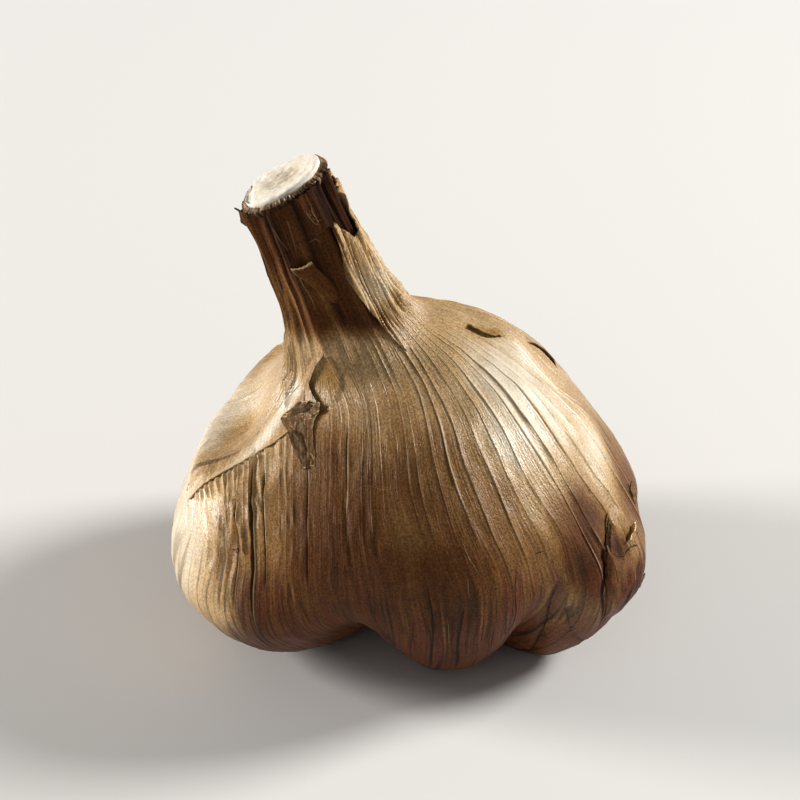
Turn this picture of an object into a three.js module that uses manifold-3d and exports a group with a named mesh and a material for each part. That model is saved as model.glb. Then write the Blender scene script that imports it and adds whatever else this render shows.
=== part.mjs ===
// A whole bulb of black garlic, aged in its papery skin, standing on its root plate.
// Millimetres, +Z up, front towards -Y. The origin is the middle of the root plate's underside.
//
// The skin is drawn tight over a ring of cloves, so its outline swells at each clove and sinks between
// two of them. Every point on the skin has an azimuth, in degrees from the front towards +X, and a
// station, which runs from 0 beside the root plate, under the bulb, over its side and up to the cut rim.

import * as THREE from "three";
import { mergeVertices } from "three/addons/utils/BufferGeometryUtils.js";
import Module from "manifold-3d";

// Driving dimensions: [radius, height] of the skin at each station, over a clove and between two
const CREST = [
  [7.0, 1.6], [11.0, 0.5], [16.5, 0.5], [22.6, 2.6], [27.4, 7.4],
  [29.8, 13.6], [29.0, 20.3], [25.6, 26.0], [20.2, 30.4], [14.4, 33.7],
  [9.6, 36.6], [7.5, 40.5], [6.5, 45.5], [6.0, 51.5], [5.8, 58.8],
];
const VALLEY = [
  [7.0, 1.8], [10.8, 2.4], [14.6, 4.6], [19.4, 8.0], [24.4, 12.0],
  [27.6, 16.6], [27.6, 21.6], [24.7, 26.3], [19.7, 30.3], [14.2, 33.6],
  [9.6, 36.6], [7.5, 40.5], [6.5, 45.5], [6.0, 51.5], [5.8, 58.8],
];
const TOP_STATION = CREST.length - 1;

// The cloves, in order round the bulb. Reach and shoulder widen the bulb below and above its waist.
// The valley after each clove has a depth, and a place between this clove's middle and the next one's.
const CLOVES = [
  { azimuth: -152, reach: 0.93, shoulder: 0.92, depth: 0.8, place: 0.5 },
  { azimuth: -108, reach: 0.98, shoulder: 0.82, depth: 0.7, place: 0.5 },
  { azimuth: -61, reach: 1.085, shoulder: 0.95, depth: 0.9, place: 0.6 },
  { azimuth: 14, reach: 0.955, shoulder: 1.0, depth: 0.75, place: 0.5 },
  { azimuth: 60, reach: 1.09, shoulder: 1.0, depth: 0.6, place: 0.5 },
  { azimuth: 108, reach: 1.02, shoulder: 0.9, depth: 0.7, place: 0.5 },
  { azimuth: 163, reach: 0.96, shoulder: 0.93, depth: 0.8, place: 0.5 },
];

// The middle of the bulb and its leaning neck, from the root plate up: [x, y, height]
const AXIS = [
  [0, 0, 0], [0, 0, 8], [-0.5, 0, 16], [-2.2, 0, 25],
  [-5.0, 0, 33], [-7.6, 0, 40], [-11.2, 0, 49], [-15.4, 0, 60],
];

// The stations between which each change of shape comes in: [from, to]
const REACH_COMES_IN = [0.5, 2.5];
const REACH_TO_SHOULDER = [4, 6.5];
const SWELL_FADES = [7.5, 10.5];
const LEAN_COMES_IN = [5, 10];
const CUT_COMES_IN = [12, TOP_STATION];

// The slant of the cut across the neck, in degrees, sideways and towards the back
const CUT_LEAN = 8;
const CUT_BACK = 7;

const GAP = 0.3;
const STALK_RADIUS = 4.95;
const STALK_FOOT_STATION = 11;
const STALK_PROUD = 0.5;
const HOLLOW_ABOVE_RIM = 2;
const ROOT_HEIGHT = 1.3;
const ROOT_RADIUS = 8.3;
const ROOT_TOP_RADIUS = 6.5;
const FLAKE_THICKNESS = 0.4;

// Torn and lifted bits of skin: from and to in azimuth and in station, and how far the free edge lifts
const FLAKES = {
  neck_tongue: { azimuth: [-19, 13], station: [12.05, 12.95], lift: 0.5, free: "top" },
  outer_neck_skin: { azimuth: [40, 165], station: [9.9, 13.45], lift: 0.3, free: "top" },
  window_flake: { azimuth: [-46, -24], station: [8.3, 9.45], lift: 0.9, free: "top" },
  shoulder_flake: { azimuth: [89, 101], station: [8.35, 8.85], lift: 0.8, free: "top" },
  side_flake: { azimuth: [50, 60], station: [4.1, 6.0], lift: 1.2, free: "side" },
};

// Mesh steps: round each body, along the stations, and across a flake
const BULB_AROUND = 72;
const BULB_STEPS_PER_STATION = 3;
const STALK_AROUND = 32;
const STALK_STEPS = 9;
const ROOT_AROUND = 40;
const FLAKE_DEGREES_PER_STEP = 5;
const FLAKE_STEPS_PER_STATION = 3;
const FLAKE_FEWEST_STEPS = 5;

const SKIN_PAPER = { color: 0x8a6842, roughness: 0.5, metalness: 0 };
const LOOSE_PAPER = { color: 0x7a5836, roughness: 0.55, metalness: 0 };
const STALK_FLESH = { color: 0xd9ccb4, roughness: 0.8, metalness: 0 };
const ROOT_CORK = { color: 0x8f7a5c, roughness: 0.9, metalness: 0 };

const { clamp, degToRad, euclideanModulo, lerp, radToDeg, smoothstep } = THREE.MathUtils;

const curveThrough = (points) =>
  new THREE.CatmullRomCurve3(points.map((p) => new THREE.Vector3(...p)), false, "catmullrom", 0.5);
const crest = curveThrough(CREST.map(([radius, height]) => [radius, 0, height]));
const valley = curveThrough(VALLEY.map(([radius, height]) => [radius, 0, height]));
const axis = curveThrough(AXIS);

// Over a clove the skin is full; between two it sinks. The swell widens it, clove by clove.
function cloveAt(azimuth, station) {
  const first = CLOVES[0].azimuth;
  const angle = first + euclideanModulo(azimuth - first, 360);
  const index = CLOVES.findLastIndex((clove) => clove.azimuth <= angle);
  const here = CLOVES[index];
  const next = CLOVES[(index + 1) % CLOVES.length];
  const along = (angle - here.azimuth) / euclideanModulo(next.azimuth - here.azimuth, 360);
  const evened = along ** (Math.log(0.5) / Math.log(here.place));
  const blend = smoothstep(along, 0, 1);
  const reach = lerp(here.reach, next.reach, blend);
  const shoulder = lerp(here.shoulder, next.shoulder, blend);
  return {
    fullness: 1 - here.depth * Math.sin(Math.PI * evened) ** 3,
    swell: lerp(reach, shoulder, smoothstep(station, ...REACH_TO_SHOULDER)),
  };
}

// The skin's radius and height about an upright axis, before the neck leans
function outlineAt(azimuth, station) {
  const { fullness, swell } = cloveAt(azimuth, station);
  const share = station / TOP_STATION;
  const { x, z } = valley.getPoint(share).lerp(crest.getPoint(share), fullness);
  const bodyOnly = smoothstep(station, ...REACH_COMES_IN) * (1 - smoothstep(station, ...SWELL_FADES));
  return { radius: x * (1 + (swell - 1) * bodyOnly), height: z };
}

// The place along the axis curve, from 0 to 1, at a height
function axisShare(height) {
  const below = AXIS.findLastIndex(([, , level]) => level <= height);
  const knot = clamp(below, 0, AXIS.length - 2);
  const low = AXIS[knot][2];
  const high = AXIS[knot + 1][2];
  return clamp((knot + (height - low) / (high - low)) / (AXIS.length - 1), 0, 1);
}

// Carries a radius and a height on to the leaning axis, tipped with it and with the slanting cut.
function lean(azimuth, station, radius, height) {
  const share = axisShare(height);
  const middle = axis.getPoint(share);
  const way = axis.getTangent(share);
  const cut = smoothstep(station, ...CUT_COMES_IN);
  const tip = Math.atan2(-way.x, way.z) * smoothstep(station, ...LEAN_COMES_IN);
  const side = tip + degToRad(CUT_LEAN) * cut;
  const back = degToRad(CUT_BACK) * cut;
  const x = radius * Math.sin(degToRad(azimuth));
  const y = -radius * Math.cos(degToRad(azimuth));
  return new THREE.Vector3(
    middle.x + x * Math.cos(side),
    middle.y + y * Math.cos(back),
    height + x * Math.sin(side) - y * Math.sin(back),
  );
}

function skinPoint(azimuth, station) {
  const { radius, height } = outlineAt(azimuth, station);
  return lean(azimuth, station, radius, height);
}

function skinNormal(azimuth, station) {
  const round = skinPoint(azimuth + 1, station).sub(skinPoint(azimuth - 1, station));
  const up = skinPoint(azimuth, station + 0.05).sub(skinPoint(azimuth, station - 0.05));
  return round.cross(up).normalize();
}

// Merges shared vertices and drops the triangles that a pole flattens, so that the body is closed.
function closeUp(geometry) {
  geometry.deleteAttribute("normal");
  geometry.deleteAttribute("uv");
  const merged = mergeVertices(geometry, 1e-4);
  const kept = [];
  for (let i = 0; i < merged.index.count; i += 3) {
    const corners = [0, 1, 2].map((k) => merged.index.getX(i + k));
    if (new Set(corners).size === 3) kept.push(...corners);
  }
  merged.setIndex(kept);
  return merged;
}

// Moves every vertex of a plain shape to the place that a rule gives it.
function shapeBy(geometry, rule) {
  const { position } = geometry.attributes;
  for (let i = 0; i < position.count; i += 1) {
    const { x, y, z } = rule(new THREE.Vector3().fromBufferAttribute(position, i));
    position.setXYZ(i, x, y, z);
  }
  return closeUp(geometry);
}

// A closed body round the leaning axis. LatheGeometry turns about Y, so its Y carries the station,
// its radius is 1 at the wall and 0 at the two ends' middles, and the rule gives each point its place.
function roundBody(foot, steps, around, rule) {
  const profile = [new THREE.Vector2(0, foot)];
  for (let i = 0; i <= steps; i += 1) profile.push(new THREE.Vector2(1, lerp(foot, TOP_STATION, i / steps)));
  profile.push(new THREE.Vector2(0, TOP_STATION));
  return shapeBy(new THREE.LatheGeometry(profile, around), ({ x, y, z }) => {
    const wall = Math.round(Math.hypot(x, z));
    return rule(radToDeg(Math.atan2(x, z)), y, wall);
  });
}

function bulbBody() {
  return roundBody(0, TOP_STATION * BULB_STEPS_PER_STATION, BULB_AROUND, (azimuth, station, wall) => {
    const { radius, height } = outlineAt(azimuth, station);
    const middleHeight = crest.getPoint(station / TOP_STATION).z;
    return lean(azimuth, station, radius * wall, wall ? height : middleHeight);
  });
}

// The stalk in its sheath, or with a larger radius and a lower foot the hollow that it sits in
function stalkBody(radius, foot, proud) {
  return roundBody(foot, STALK_STEPS, STALK_AROUND, (azimuth, station, wall) => {
    const above = station === TOP_STATION ? proud : 0;
    return lean(azimuth, station, radius * wall, crest.getPoint(station / TOP_STATION).z + above);
  });
}

function rootPlateBody() {
  const plate = new THREE.CylinderGeometry(ROOT_TOP_RADIUS, ROOT_RADIUS, ROOT_HEIGHT, ROOT_AROUND);
  plate.rotateX(Math.PI / 2);
  plate.translate(0, 0, ROOT_HEIGHT / 2);
  return closeUp(plate);
}

// A bit of skin lies on the bulb, and curls away from it towards its free edge.
function flakeBody({ azimuth, station, lift, free }) {
  const stepsOver = ([from, to], rate) => Math.max(FLAKE_FEWEST_STEPS, Math.round((to - from) * rate));
  const across = stepsOver(azimuth, 1 / FLAKE_DEGREES_PER_STEP);
  const along = stepsOver(station, FLAKE_STEPS_PER_STATION);
  return shapeBy(new THREE.BoxGeometry(1, 1, 1, across, along, 1), ({ x, y, z }) => {
    const a = lerp(...azimuth, x + 0.5);
    const s = lerp(...station, y + 0.5);
    const towardsEdge = free === "top" ? y + 0.5 : 0.5 - x;
    const stand = GAP + lift * towardsEdge ** 2 + FLAKE_THICKNESS * (z + 0.5);
    return skinPoint(a, s).addScaledVector(skinNormal(a, s), stand);
  });
}

const wasm = await Module();
wasm.setup();

function toSolid(geometry) {
  const vertProperties = new Float32Array(geometry.attributes.position.array);
  const triVerts = new Uint32Array(geometry.index.array);
  return new wasm.Manifold(new wasm.Mesh({ numProp: 3, vertProperties, triVerts }));
}

function toGeometry(solid) {
  const { vertProperties, triVerts } = solid.getMesh();
  const geometry = new THREE.BufferGeometry();
  geometry.setAttribute("position", new THREE.BufferAttribute(vertProperties, 3));
  geometry.setIndex(new THREE.BufferAttribute(triVerts, 1));
  return geometry;
}

function piece(name, geometry, finish) {
  const mesh = new THREE.Mesh(geometry, new THREE.MeshStandardMaterial(finish));
  mesh.name = name;
  return mesh;
}

function wrappedBulb() {
  const hollow = stalkBody(STALK_RADIUS + GAP, STALK_FOOT_STATION - GAP, HOLLOW_ABOVE_RIM);
  return piece("wrapped_bulb", toGeometry(toSolid(bulbBody()).subtract(toSolid(hollow))), SKIN_PAPER);
}

function flowerStalk() {
  return piece("flower_stalk", stalkBody(STALK_RADIUS, STALK_FOOT_STATION, STALK_PROUD), STALK_FLESH);
}

function rootPlate() {
  return piece("root_plate", rootPlateBody(), ROOT_CORK);
}

function looseSkin() {
  return Object.entries(FLAKES).map(([name, flake]) => piece(name, flakeBody(flake), LOOSE_PAPER));
}

const garlic = new THREE.Group();
garlic.add(wrappedBulb(), flowerStalk(), rootPlate(), ...looseSkin());

export default garlic;
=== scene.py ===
import math

import bpy
import numpy as np
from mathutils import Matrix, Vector, noise


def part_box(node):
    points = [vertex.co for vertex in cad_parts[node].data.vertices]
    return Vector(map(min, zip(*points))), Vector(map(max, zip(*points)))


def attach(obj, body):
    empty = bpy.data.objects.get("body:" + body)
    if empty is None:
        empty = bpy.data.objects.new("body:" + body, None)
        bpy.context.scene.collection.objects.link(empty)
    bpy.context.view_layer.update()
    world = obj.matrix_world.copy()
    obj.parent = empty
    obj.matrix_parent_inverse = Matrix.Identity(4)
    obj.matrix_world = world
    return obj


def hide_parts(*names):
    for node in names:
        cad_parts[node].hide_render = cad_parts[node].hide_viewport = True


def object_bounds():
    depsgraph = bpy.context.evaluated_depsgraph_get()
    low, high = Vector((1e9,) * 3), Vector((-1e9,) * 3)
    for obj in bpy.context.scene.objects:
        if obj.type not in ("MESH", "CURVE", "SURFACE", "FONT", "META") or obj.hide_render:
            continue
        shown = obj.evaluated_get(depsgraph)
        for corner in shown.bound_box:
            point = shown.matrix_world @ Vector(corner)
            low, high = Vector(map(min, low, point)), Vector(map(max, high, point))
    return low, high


bl_info = {
    "name": "Black garlic bulb",
    "version": (1, 0, 0),
    "blender": (4, 5, 0),
    "location": "3D view > Sidebar > Garlic",
    "description": "Models a whole bulb of aged garlic in its papery skin",
    "category": "Add Mesh",
}

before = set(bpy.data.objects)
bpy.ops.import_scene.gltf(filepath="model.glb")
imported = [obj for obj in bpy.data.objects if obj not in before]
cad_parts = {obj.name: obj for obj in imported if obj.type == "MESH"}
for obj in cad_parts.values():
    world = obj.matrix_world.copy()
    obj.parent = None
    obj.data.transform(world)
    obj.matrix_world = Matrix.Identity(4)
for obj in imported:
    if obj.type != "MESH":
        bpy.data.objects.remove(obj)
CAD_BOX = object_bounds()

MM = 0.001

# ---------------------------------------------------------------------------
# The bulb's form, in millimetres, as the frame has it. A place on the skin is an
# azimuth, in degrees from the front (-Y) towards +X, and a station from 0 beside
# the root plate, under the bulb, over its side and up the neck to the cut rim.
# ---------------------------------------------------------------------------

CREST = [
    (7.0, 1.6), (11.0, 0.5), (16.5, 0.5), (22.6, 2.6), (27.4, 7.4),
    (29.8, 13.6), (29.0, 20.3), (25.6, 26.0), (20.2, 30.4), (14.4, 33.7),
    (9.6, 36.6), (7.5, 40.5), (6.5, 45.5), (6.0, 51.5), (5.8, 58.8),
]
VALLEY = [
    (7.0, 1.8), (10.8, 2.4), (14.6, 4.6), (19.4, 8.0), (24.4, 12.0),
    (27.6, 16.6), (27.6, 21.6), (24.7, 26.3), (19.7, 30.3), (14.2, 33.6),
    (9.6, 36.6), (7.5, 40.5), (6.5, 45.5), (6.0, 51.5), (5.8, 58.8),
]
TOP = len(CREST) - 1

# azimuth, reach below the waist, reach at the shoulder, depth of the valley after it, its place
CLOVES = [
    (-152, 0.93, 0.92, 0.8, 0.5),
    (-108, 0.98, 0.82, 0.7, 0.5),
    (-61, 1.085, 0.95, 0.9, 0.6),
    (14, 0.955, 1.0, 0.75, 0.5),
    (60, 1.09, 1.0, 0.6, 0.5),
    (108, 1.02, 0.9, 0.7, 0.5),
    (163, 0.96, 0.93, 0.8, 0.5),
]

AXIS = [
    (0, 0, 0), (0, 0, 8), (-0.5, 0, 16), (-2.2, 0, 25),
    (-5.0, 0, 33), (-7.6, 0, 40), (-11.2, 0, 49), (-15.4, 0, 60),
]
CUT_LEAN = 8
CUT_BACK = 7


def ease(value, start, end):
    """0 before start, 1 after end, and smooth between them."""
    share = np.clip((np.asarray(value, float) - start) / (end - start), 0, 1)
    return share * share * (3 - 2 * share)


def blend(low, high, share):
    return low + (high - low) * share


def through(points, t):
    """A smooth curve through points, one unit of t apart."""
    points = np.asarray(points, float)
    last = len(points) - 1
    t = np.clip(t, 0, last - 1e-9)
    i = np.floor(t).astype(int)
    f = (t - i)[..., None]
    here = points[i]
    after = points[i + 1]
    before = np.where((i == 0)[..., None], 2 * here - after, points[np.maximum(i - 1, 0)])
    beyond = np.where((i == last - 1)[..., None], 2 * after - here, points[np.minimum(i + 2, last)])
    bend = 2 * before - 5 * here + 4 * after - beyond
    twist = 3 * (here - after) + beyond - before
    return here + 0.5 * ((after - before) * f + bend * f ** 2 + twist * f ** 3)


def clove_at(azimuth, station):
    """How full the skin is between the valley's outline and the crest's, and how far it swells."""
    start = CLOVES[0][0]
    angle = start + (azimuth - start) % 360
    table = np.array(CLOVES + [(start + 360,) + CLOVES[0][1:]], float)
    i = np.clip(np.searchsorted(table[:, 0], angle, side="right") - 1, 0, len(CLOVES) - 1)
    along = (angle - table[i, 0]) / (table[i + 1, 0] - table[i, 0])
    evened = np.clip(along, 0, 1) ** (math.log(0.5) / np.log(table[i, 4]))
    share = ease(along, 0, 1)
    reach = blend(table[i, 1], table[i + 1, 1], share)
    shoulder = blend(table[i, 2], table[i + 1, 2], share)
    fullness = 1 - table[i, 3] * np.abs(np.sin(math.pi * evened)) ** 3
    return fullness, blend(reach, shoulder, ease(station, 4, 6.5))


def lean(azimuth, station, radius, height):
    """Carries a radius and a height on to the leaning axis, tipped with it and with the cut."""
    levels = np.array(AXIS, float)[:, 2]
    t = np.interp(height, levels, np.arange(len(levels)))
    middle = through(AXIS, t)
    way = through(AXIS, t + 0.02) - through(AXIS, t - 0.02)
    cut = ease(station, 12, TOP)
    side = np.arctan2(-way[..., 0], way[..., 2]) * ease(station, 5, 10) + math.radians(CUT_LEAN) * cut
    back = math.radians(CUT_BACK) * cut
    x = radius * np.sin(np.radians(azimuth))
    y = -radius * np.cos(np.radians(azimuth))
    return np.stack([
        middle[..., 0] + x * np.cos(side),
        middle[..., 1] + y * np.cos(back),
        height + x * np.sin(side) - y * np.sin(back),
    ], -1)


def form(azimuth, station):
    """The smooth form of the skin, without veins or folds."""
    azimuth, station = np.broadcast_arrays(np.asarray(azimuth, float), np.asarray(station, float))
    fullness, swell = clove_at(azimuth, station)
    outline = blend(through(VALLEY, station), through(CREST, station), fullness[..., None])
    body = ease(station, 0.5, 2.5) * (1 - ease(station, 7.5, 10.5))
    return lean(azimuth, station, outline[..., 0] * (1 + (swell - 1) * body), outline[..., 1])


def outward(azimuth, station):
    """The form's outward direction."""
    station = np.clip(station, 0.05, TOP - 0.05)
    around = form(azimuth + 0.8, station) - form(azimuth - 0.8, station)
    up = form(azimuth, station + 0.04) - form(azimuth, station - 0.04)
    out = np.cross(around, up)
    return out / np.linalg.norm(out, axis=-1, keepdims=True)


# ---------------------------------------------------------------------------
# Fibres. A fibre keeps its number, in degrees, from the root to the neck. Its azimuth
# turns with the neck's twist. Below the left shoulder the skin hangs straight down in
# gathers, so fibres there keep to one distance from the middle instead.
# ---------------------------------------------------------------------------

# fibre, how far it turns by the neck
TWIST = [(-180, 20), (-140, 12), (-104, 4), (-70, 0), (-30, 0), (-21, 2), (-12, 9), (0, 15), (12, 22),
         (24, 26), (100, 26), (180, 20)]
# fibre, how far it is gathered to the front at the waist, station up to which it hangs
GATHER = [
    (-104, 0, 5.6), (-84, 8, 5.6), (-71, 16.5, 6.1), (-66, 19.5, 6.9), (-60, 20.5, 7.9), (-54, 20, 8.5),
    (-50, 19.5, 8.8), (-40, 13.5, 9.0), (-32, 11, 9.1), (-21, 9, 9.2), (-12, 6, 9.2), (0, 3, 9.2),
    (15, 0, 9.0),
]
WAIST = 5.7
# fibres between which the skin hangs
HANGING = (-94, 0)


def hanging(start, station):
    """Azimuth at a station of a fibre that hangs straight from its azimuth at the waist."""
    level = form(start, np.full(np.shape(start), WAIST))[..., 0]
    station = np.maximum(station, WAIST)
    sine = np.sin(np.radians(start))
    for _ in range(5):
        place = form(np.degrees(np.arcsin(sine)), station)
        sine = sine - (level - place[..., 0]) * np.sqrt(1 - sine ** 2) / np.minimum(place[..., 1], -2)
        sine = np.clip(sine, -0.96, 0.96)
    return np.degrees(np.arcsin(sine))


def fibre_azimuth(fibre, station):
    """Where a fibre passes a station."""
    fibre, station = np.broadcast_arrays(np.asarray(fibre, float), np.asarray(station, float))
    azimuth = fibre + np.interp(fibre, *zip(*TWIST)) * ease(station, 6.6, 10.8) ** 1.3
    numbers, gathers, tops = zip(*GATHER)
    gather = np.interp(fibre, numbers, gathers)
    held = 1 - ease(station - np.interp(fibre, numbers, tops), 0, 1.5)
    azimuth = azimuth + gather * held
    hangs = (fibre > HANGING[0]) & (fibre < HANGING[1]) & (station > WAIST)
    start = (fibre + gather)[hangs]
    straight = ease(fibre[hangs], -90, -74) * (1 - ease(fibre[hangs], -34, -4))
    azimuth[hangs] += (hanging(start, station[hangs]) - start) * held[hangs] * straight
    return azimuth


def fibre_at(azimuth, station):
    """The number of the fibre that passes a place, found by halving."""
    low = np.array(azimuth, float) - 45
    high = low + 90
    for _ in range(20):
        middle = (low + high) / 2
        beyond = fibre_azimuth(middle, station) > azimuth
        high = np.where(beyond, middle, high)
        low = np.where(beyond, low, middle)
    return (low + high) / 2


def drift(points, size, seed):
    """Smooth noise from -1 to 1 at points in mm, with lumps about as wide as size."""
    shape = points.shape[:-1]
    flat = points.reshape(-1, 3) / size + seed * 17.3
    return np.array([noise.noise(Vector(p)) for p in flat]).reshape(shape) * 1.6


def facets(u, v, count, seed):
    """Cells of crumpled leaf over a sheet: for each (u, v) the cell's own number from 0 to 1, and how far
    inside the cell's straight edges it is."""
    draw = np.random.default_rng(seed)
    middles = draw.uniform(0, 1, (count, 2)) * (u.max(), v.max())
    own = draw.uniform(0, 1, count)
    away = np.hypot(u[..., None] - middles[:, 0], v[..., None] - middles[:, 1])
    order = np.sort(away, axis=-1)
    return own[np.argmin(away, axis=-1)], order[..., 1] - order[..., 0]


def fibre_space(fibre, station, across, along):
    """A place in a space where fibres run straight up, wrapped round so that it has no seam."""
    fibre, station = np.broadcast_arrays(np.asarray(fibre, float), np.asarray(station, float))
    turn = np.radians(fibre)
    radius = 25.0 / across
    return np.stack([radius * np.sin(turn), radius * np.cos(turn), station * 4.5 / along], -1)


# ---------------------------------------------------------------------------
# Marks: folds, tears and cracks drawn over the skin through (azimuth, station)
# points. size is its height or depth in mm, and width how far it reaches.
# ---------------------------------------------------------------------------

CREASE = [(-70, 5.8), (-66, 6.3), (-62, 7), (-57, 7.8), (-47, 8.5), (-41, 8.9), (-35, 9.3)]
FRONT_CRACK = [(14.5, 5.6), (12.5, 4.8), (13, 4)]
LOBE_CRACK = [(40, 5.3), (39, 4.4), (43, 3.4), (49, 2.4)]
BRANCH_CRACK = [(42, 4.4), (47, 3.8), (54.5, 3.3)]
SIDE_SLIT = [(61, 6.1), (57, 5.8), (53, 5.6), (52, 5.3), (50, 4.9), (51, 4.4), (53, 3.8)]

GROOVES = [
    # size, width, points
    (0.16, 0.25, [(-12, 8.6), (-11, 7.5), (-11, 6.3), (-10, 5)]),
    (0.22, 0.45, FRONT_CRACK),
    (0.40, 0.50, LOBE_CRACK),
    (0.30, 0.45, BRANCH_CRACK),
    (0.30, 0.40, SIDE_SLIT),
]
# fibre of the vein that a slit runs beside, and its depth in mm at stations
SLITS = [
    (-66, [(4.6, 0), (5.0, 0.15), (6.2, 0.15), (6.5, 0)]),
    (-62.5, [(4.8, 0), (5.2, 0.35), (6.6, 0.45), (7.1, 0.15), (7.4, 0)]),
    (-58, [(4.6, 0), (4.9, 0.3), (5.6, 0.65), (7.4, 0.75), (8.1, 0.5), (8.4, 0)]),
    (-54.5, [(5.2, 0), (5.6, 0.2), (8.2, 0.2), (8.4, 0)]),
    (-34.5, [(5.4, 0), (5.8, 0.16), (8.0, 0.16), (8.3, 0)]),
    (-21, [(7.6, 0), (8.0, 0.12), (8.8, 0.12), (9.2, 0)]),
]
RIDGES = [
    (0.45, 0.40, [(-50, 7), (-48, 6.8), (-44.5, 6.5), (-42, 6.2), (-41, 5.9)]),
    (0.45, 0.55, [(-76, 11.3), (-82, 10.7), (-76, 10.1), (-61, 9.7), (-52, 9.3)]),
    (0.35, 0.50, [(-62, 11.3), (-68, 10.7), (-66, 10.2), (-54, 9.7)]),
]
LINES = [
    # half width in mm, 1 for a dark crack, drawn with painted shade in it, to -1 for a pale fold, drawn in
    # the crests' pale colour of wear and painted highlight, points
    (0.10, 1.0, [(6.5, 6.1), (6.5, 5.4), (6, 4.2), (6.5, 3.6)]),
    (0.15, 1.0, FRONT_CRACK + [(13.5, 3.5)]),
    (0.10, 1.0, [(29, 5.9), (27, 5.4), (27, 4.7), (25.5, 4.4)]),
    (0.08, 1.0, [(24, 5.2), (24.5, 4.6), (26, 3.9)]),
    (0.07, 0.7, [(18.5, 5.3), (18, 4.5)]),
    (0.07, 0.6, [(21, 5), (21, 4.6), (21.5, 4)]),
    (0.07, 0.7, [(2, 5.2), (1.5, 4.7), (2, 4.1)]),
    (0.07, 0.7, [(31.5, 5.4), (31.5, 5), (30.5, 4.4), (31.5, 3.9)]),
    (0.06, -0.25, [(18, 6.7), (18, 6.4), (19.5, 6)]),
    (0.06, -0.4, [(16.5, 6.1), (15.5, 5.6)]),
    (0.06, -0.4, [(41, 5.5), (42, 5.1)]),
    (0.11, 0.7, LOBE_CRACK + [(50.5, 2.2)]),
    (0.08, 0.7, BRANCH_CRACK + [(58, 2.9)]),
    (0.16, 1.0, SIDE_SLIT),
    (0.09, 0.9, [(54, 5.6), (57, 5.4), (61, 5.4), (64.5, 5.3), (64, 5.1), (61, 4.8), (59, 4.2)]),
    (0.09, 0.8, [(34, 5.9), (38, 5.9)]),
    (0.06, -0.25, [(-10, 7.6), (-4, 7.8), (2, 7.7), (7, 7.7)]),
    (0.06, -0.4, [(-4, 8.3), (0, 8.4), (5, 8.4), (6, 8.1)]),
    (0.08, 0.8, [(-46, 5.9), (-42.5, 6)]),
    (0.08, -0.2, [(-23, 13.7), (-21, 13.5), (-16, 13.2)]),
    (0.08, -0.22, [(-5, 13.7), (-6, 13.5), (-10, 13)]),
    (0.05, -0.5, [(22, 13.7), (21, 13.6), (25, 13.4), (30, 13.4)]),
    (0.05, -0.4, [(29, 13.7), (27, 13.6), (29, 13.4)]),
    (0.05, -0.4, [(9, 13.2), (14, 13.2), (19, 13.2), (21, 13.1)]),
    (0.06, -0.45, [(-13, 13), (-14, 12.6), (-12, 12.3), (-12, 11.9)]),
    (0.09, 0.8, [(-38, 13.6), (-42, 13.3), (-46, 12.9), (-50, 12.3), (-56, 11.4)]),
    (0.09, 0.8, [(-64, 13.6), (-70, 13.3), (-76, 12.6), (-76, 12.1), (-80, 11.4)]),
    (0.06, 0.5, [(-6, 5.9), (-7.5, 4.7), (-6, 4.2)]),
    (0.06, 0.5, [(-13, 5.6), (-14, 5), (-14, 4.4)]),
    (0.06, 0.5, [(36, 5.6), (35, 5.1), (35, 4.6)]),
    (0.05, -0.3, [(10, 5.4), (10, 4.5)]),
]
# fibre, half width and span of stations of cracks that run straight along a fibre
SPLITS = [
    (-58.6, 0.20, 4.75, 8.15), (-54.7, 0.08, 5.4, 8.3), (-62.7, 0.08, 5.0, 7.3), (-34.8, 0.07, 5.6, 8.2),
]
LINE_REACH = 0.8
WINDOW = [
    (-20, 10.8), (-30, 10.5), (-36, 10.3), (-39, 10.1), (-35, 9.9), (-29, 9.7), (-25, 9.5),
    (-22, 9.5), (-18, 9.8), (-15.5, 10.1), (-16, 10.4), (-18, 10.6),
]


def mark_line(points, count=28):
    """Places along a mark, in mm on the smooth form, with the points that they pass."""
    t = np.linspace(0, len(points) - 1, count)
    place = through(points, t)
    return form(place[:, 0], place[:, 1])


def beside(points, spots, out, reach=9.0):
    """For every spot: its distance from a mark's line, which side it is on, and how far along."""
    line = mark_line(points)
    nearest = np.full(len(spots), 1e9)
    side = np.zeros(len(spots))
    along = np.zeros(len(spots))
    low = line.min(0) - reach
    high = line.max(0) + reach
    near = np.all((spots > low) & (spots < high), axis=1)
    close = spots[near]
    normals = out[near]
    best = np.full(len(close), 1e9)
    sign = np.zeros(len(close))
    share = np.zeros(len(close))
    for i in range(len(line) - 1):
        step = line[i + 1] - line[i]
        length = step @ step
        t = np.clip(((close - line[i]) @ step) / length, 0, 1)
        gap = close - line[i] - t[:, None] * step
        distance = np.linalg.norm(gap, axis=1)
        closer = distance < best
        best = np.where(closer, distance, best)
        turn = np.einsum("ij,ij->i", np.cross(step, gap), normals)
        sign = np.where(closer, np.sign(turn), sign)
        share = np.where(closer, (i + t) / (len(line) - 1), share)
    nearest[near] = best
    side[near] = sign
    along[near] = share
    return nearest, side, along


def tapered(along, ends=0.12):
    return ease(along, 0, ends) * (1 - ease(along, 1 - ends, 1))


def blob(azimuth, station, centre, reach):
    """1 at a place and 0 beyond its reach, both in degrees and stations."""
    turn = (azimuth - centre[0] + 180) % 360 - 180
    away = np.hypot(turn / reach[0], (station - centre[1]) / reach[1])
    return 1 - ease(away, 0, 1)


def strongest(azimuth, station, zones):
    """The greatest of some zones' strengths at a place; a zone is a strength, its middle and its reach."""
    found = [strength * blob(azimuth, station, centre, reach) for strength, centre, reach in zones]
    return np.max(found, axis=0)


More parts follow.
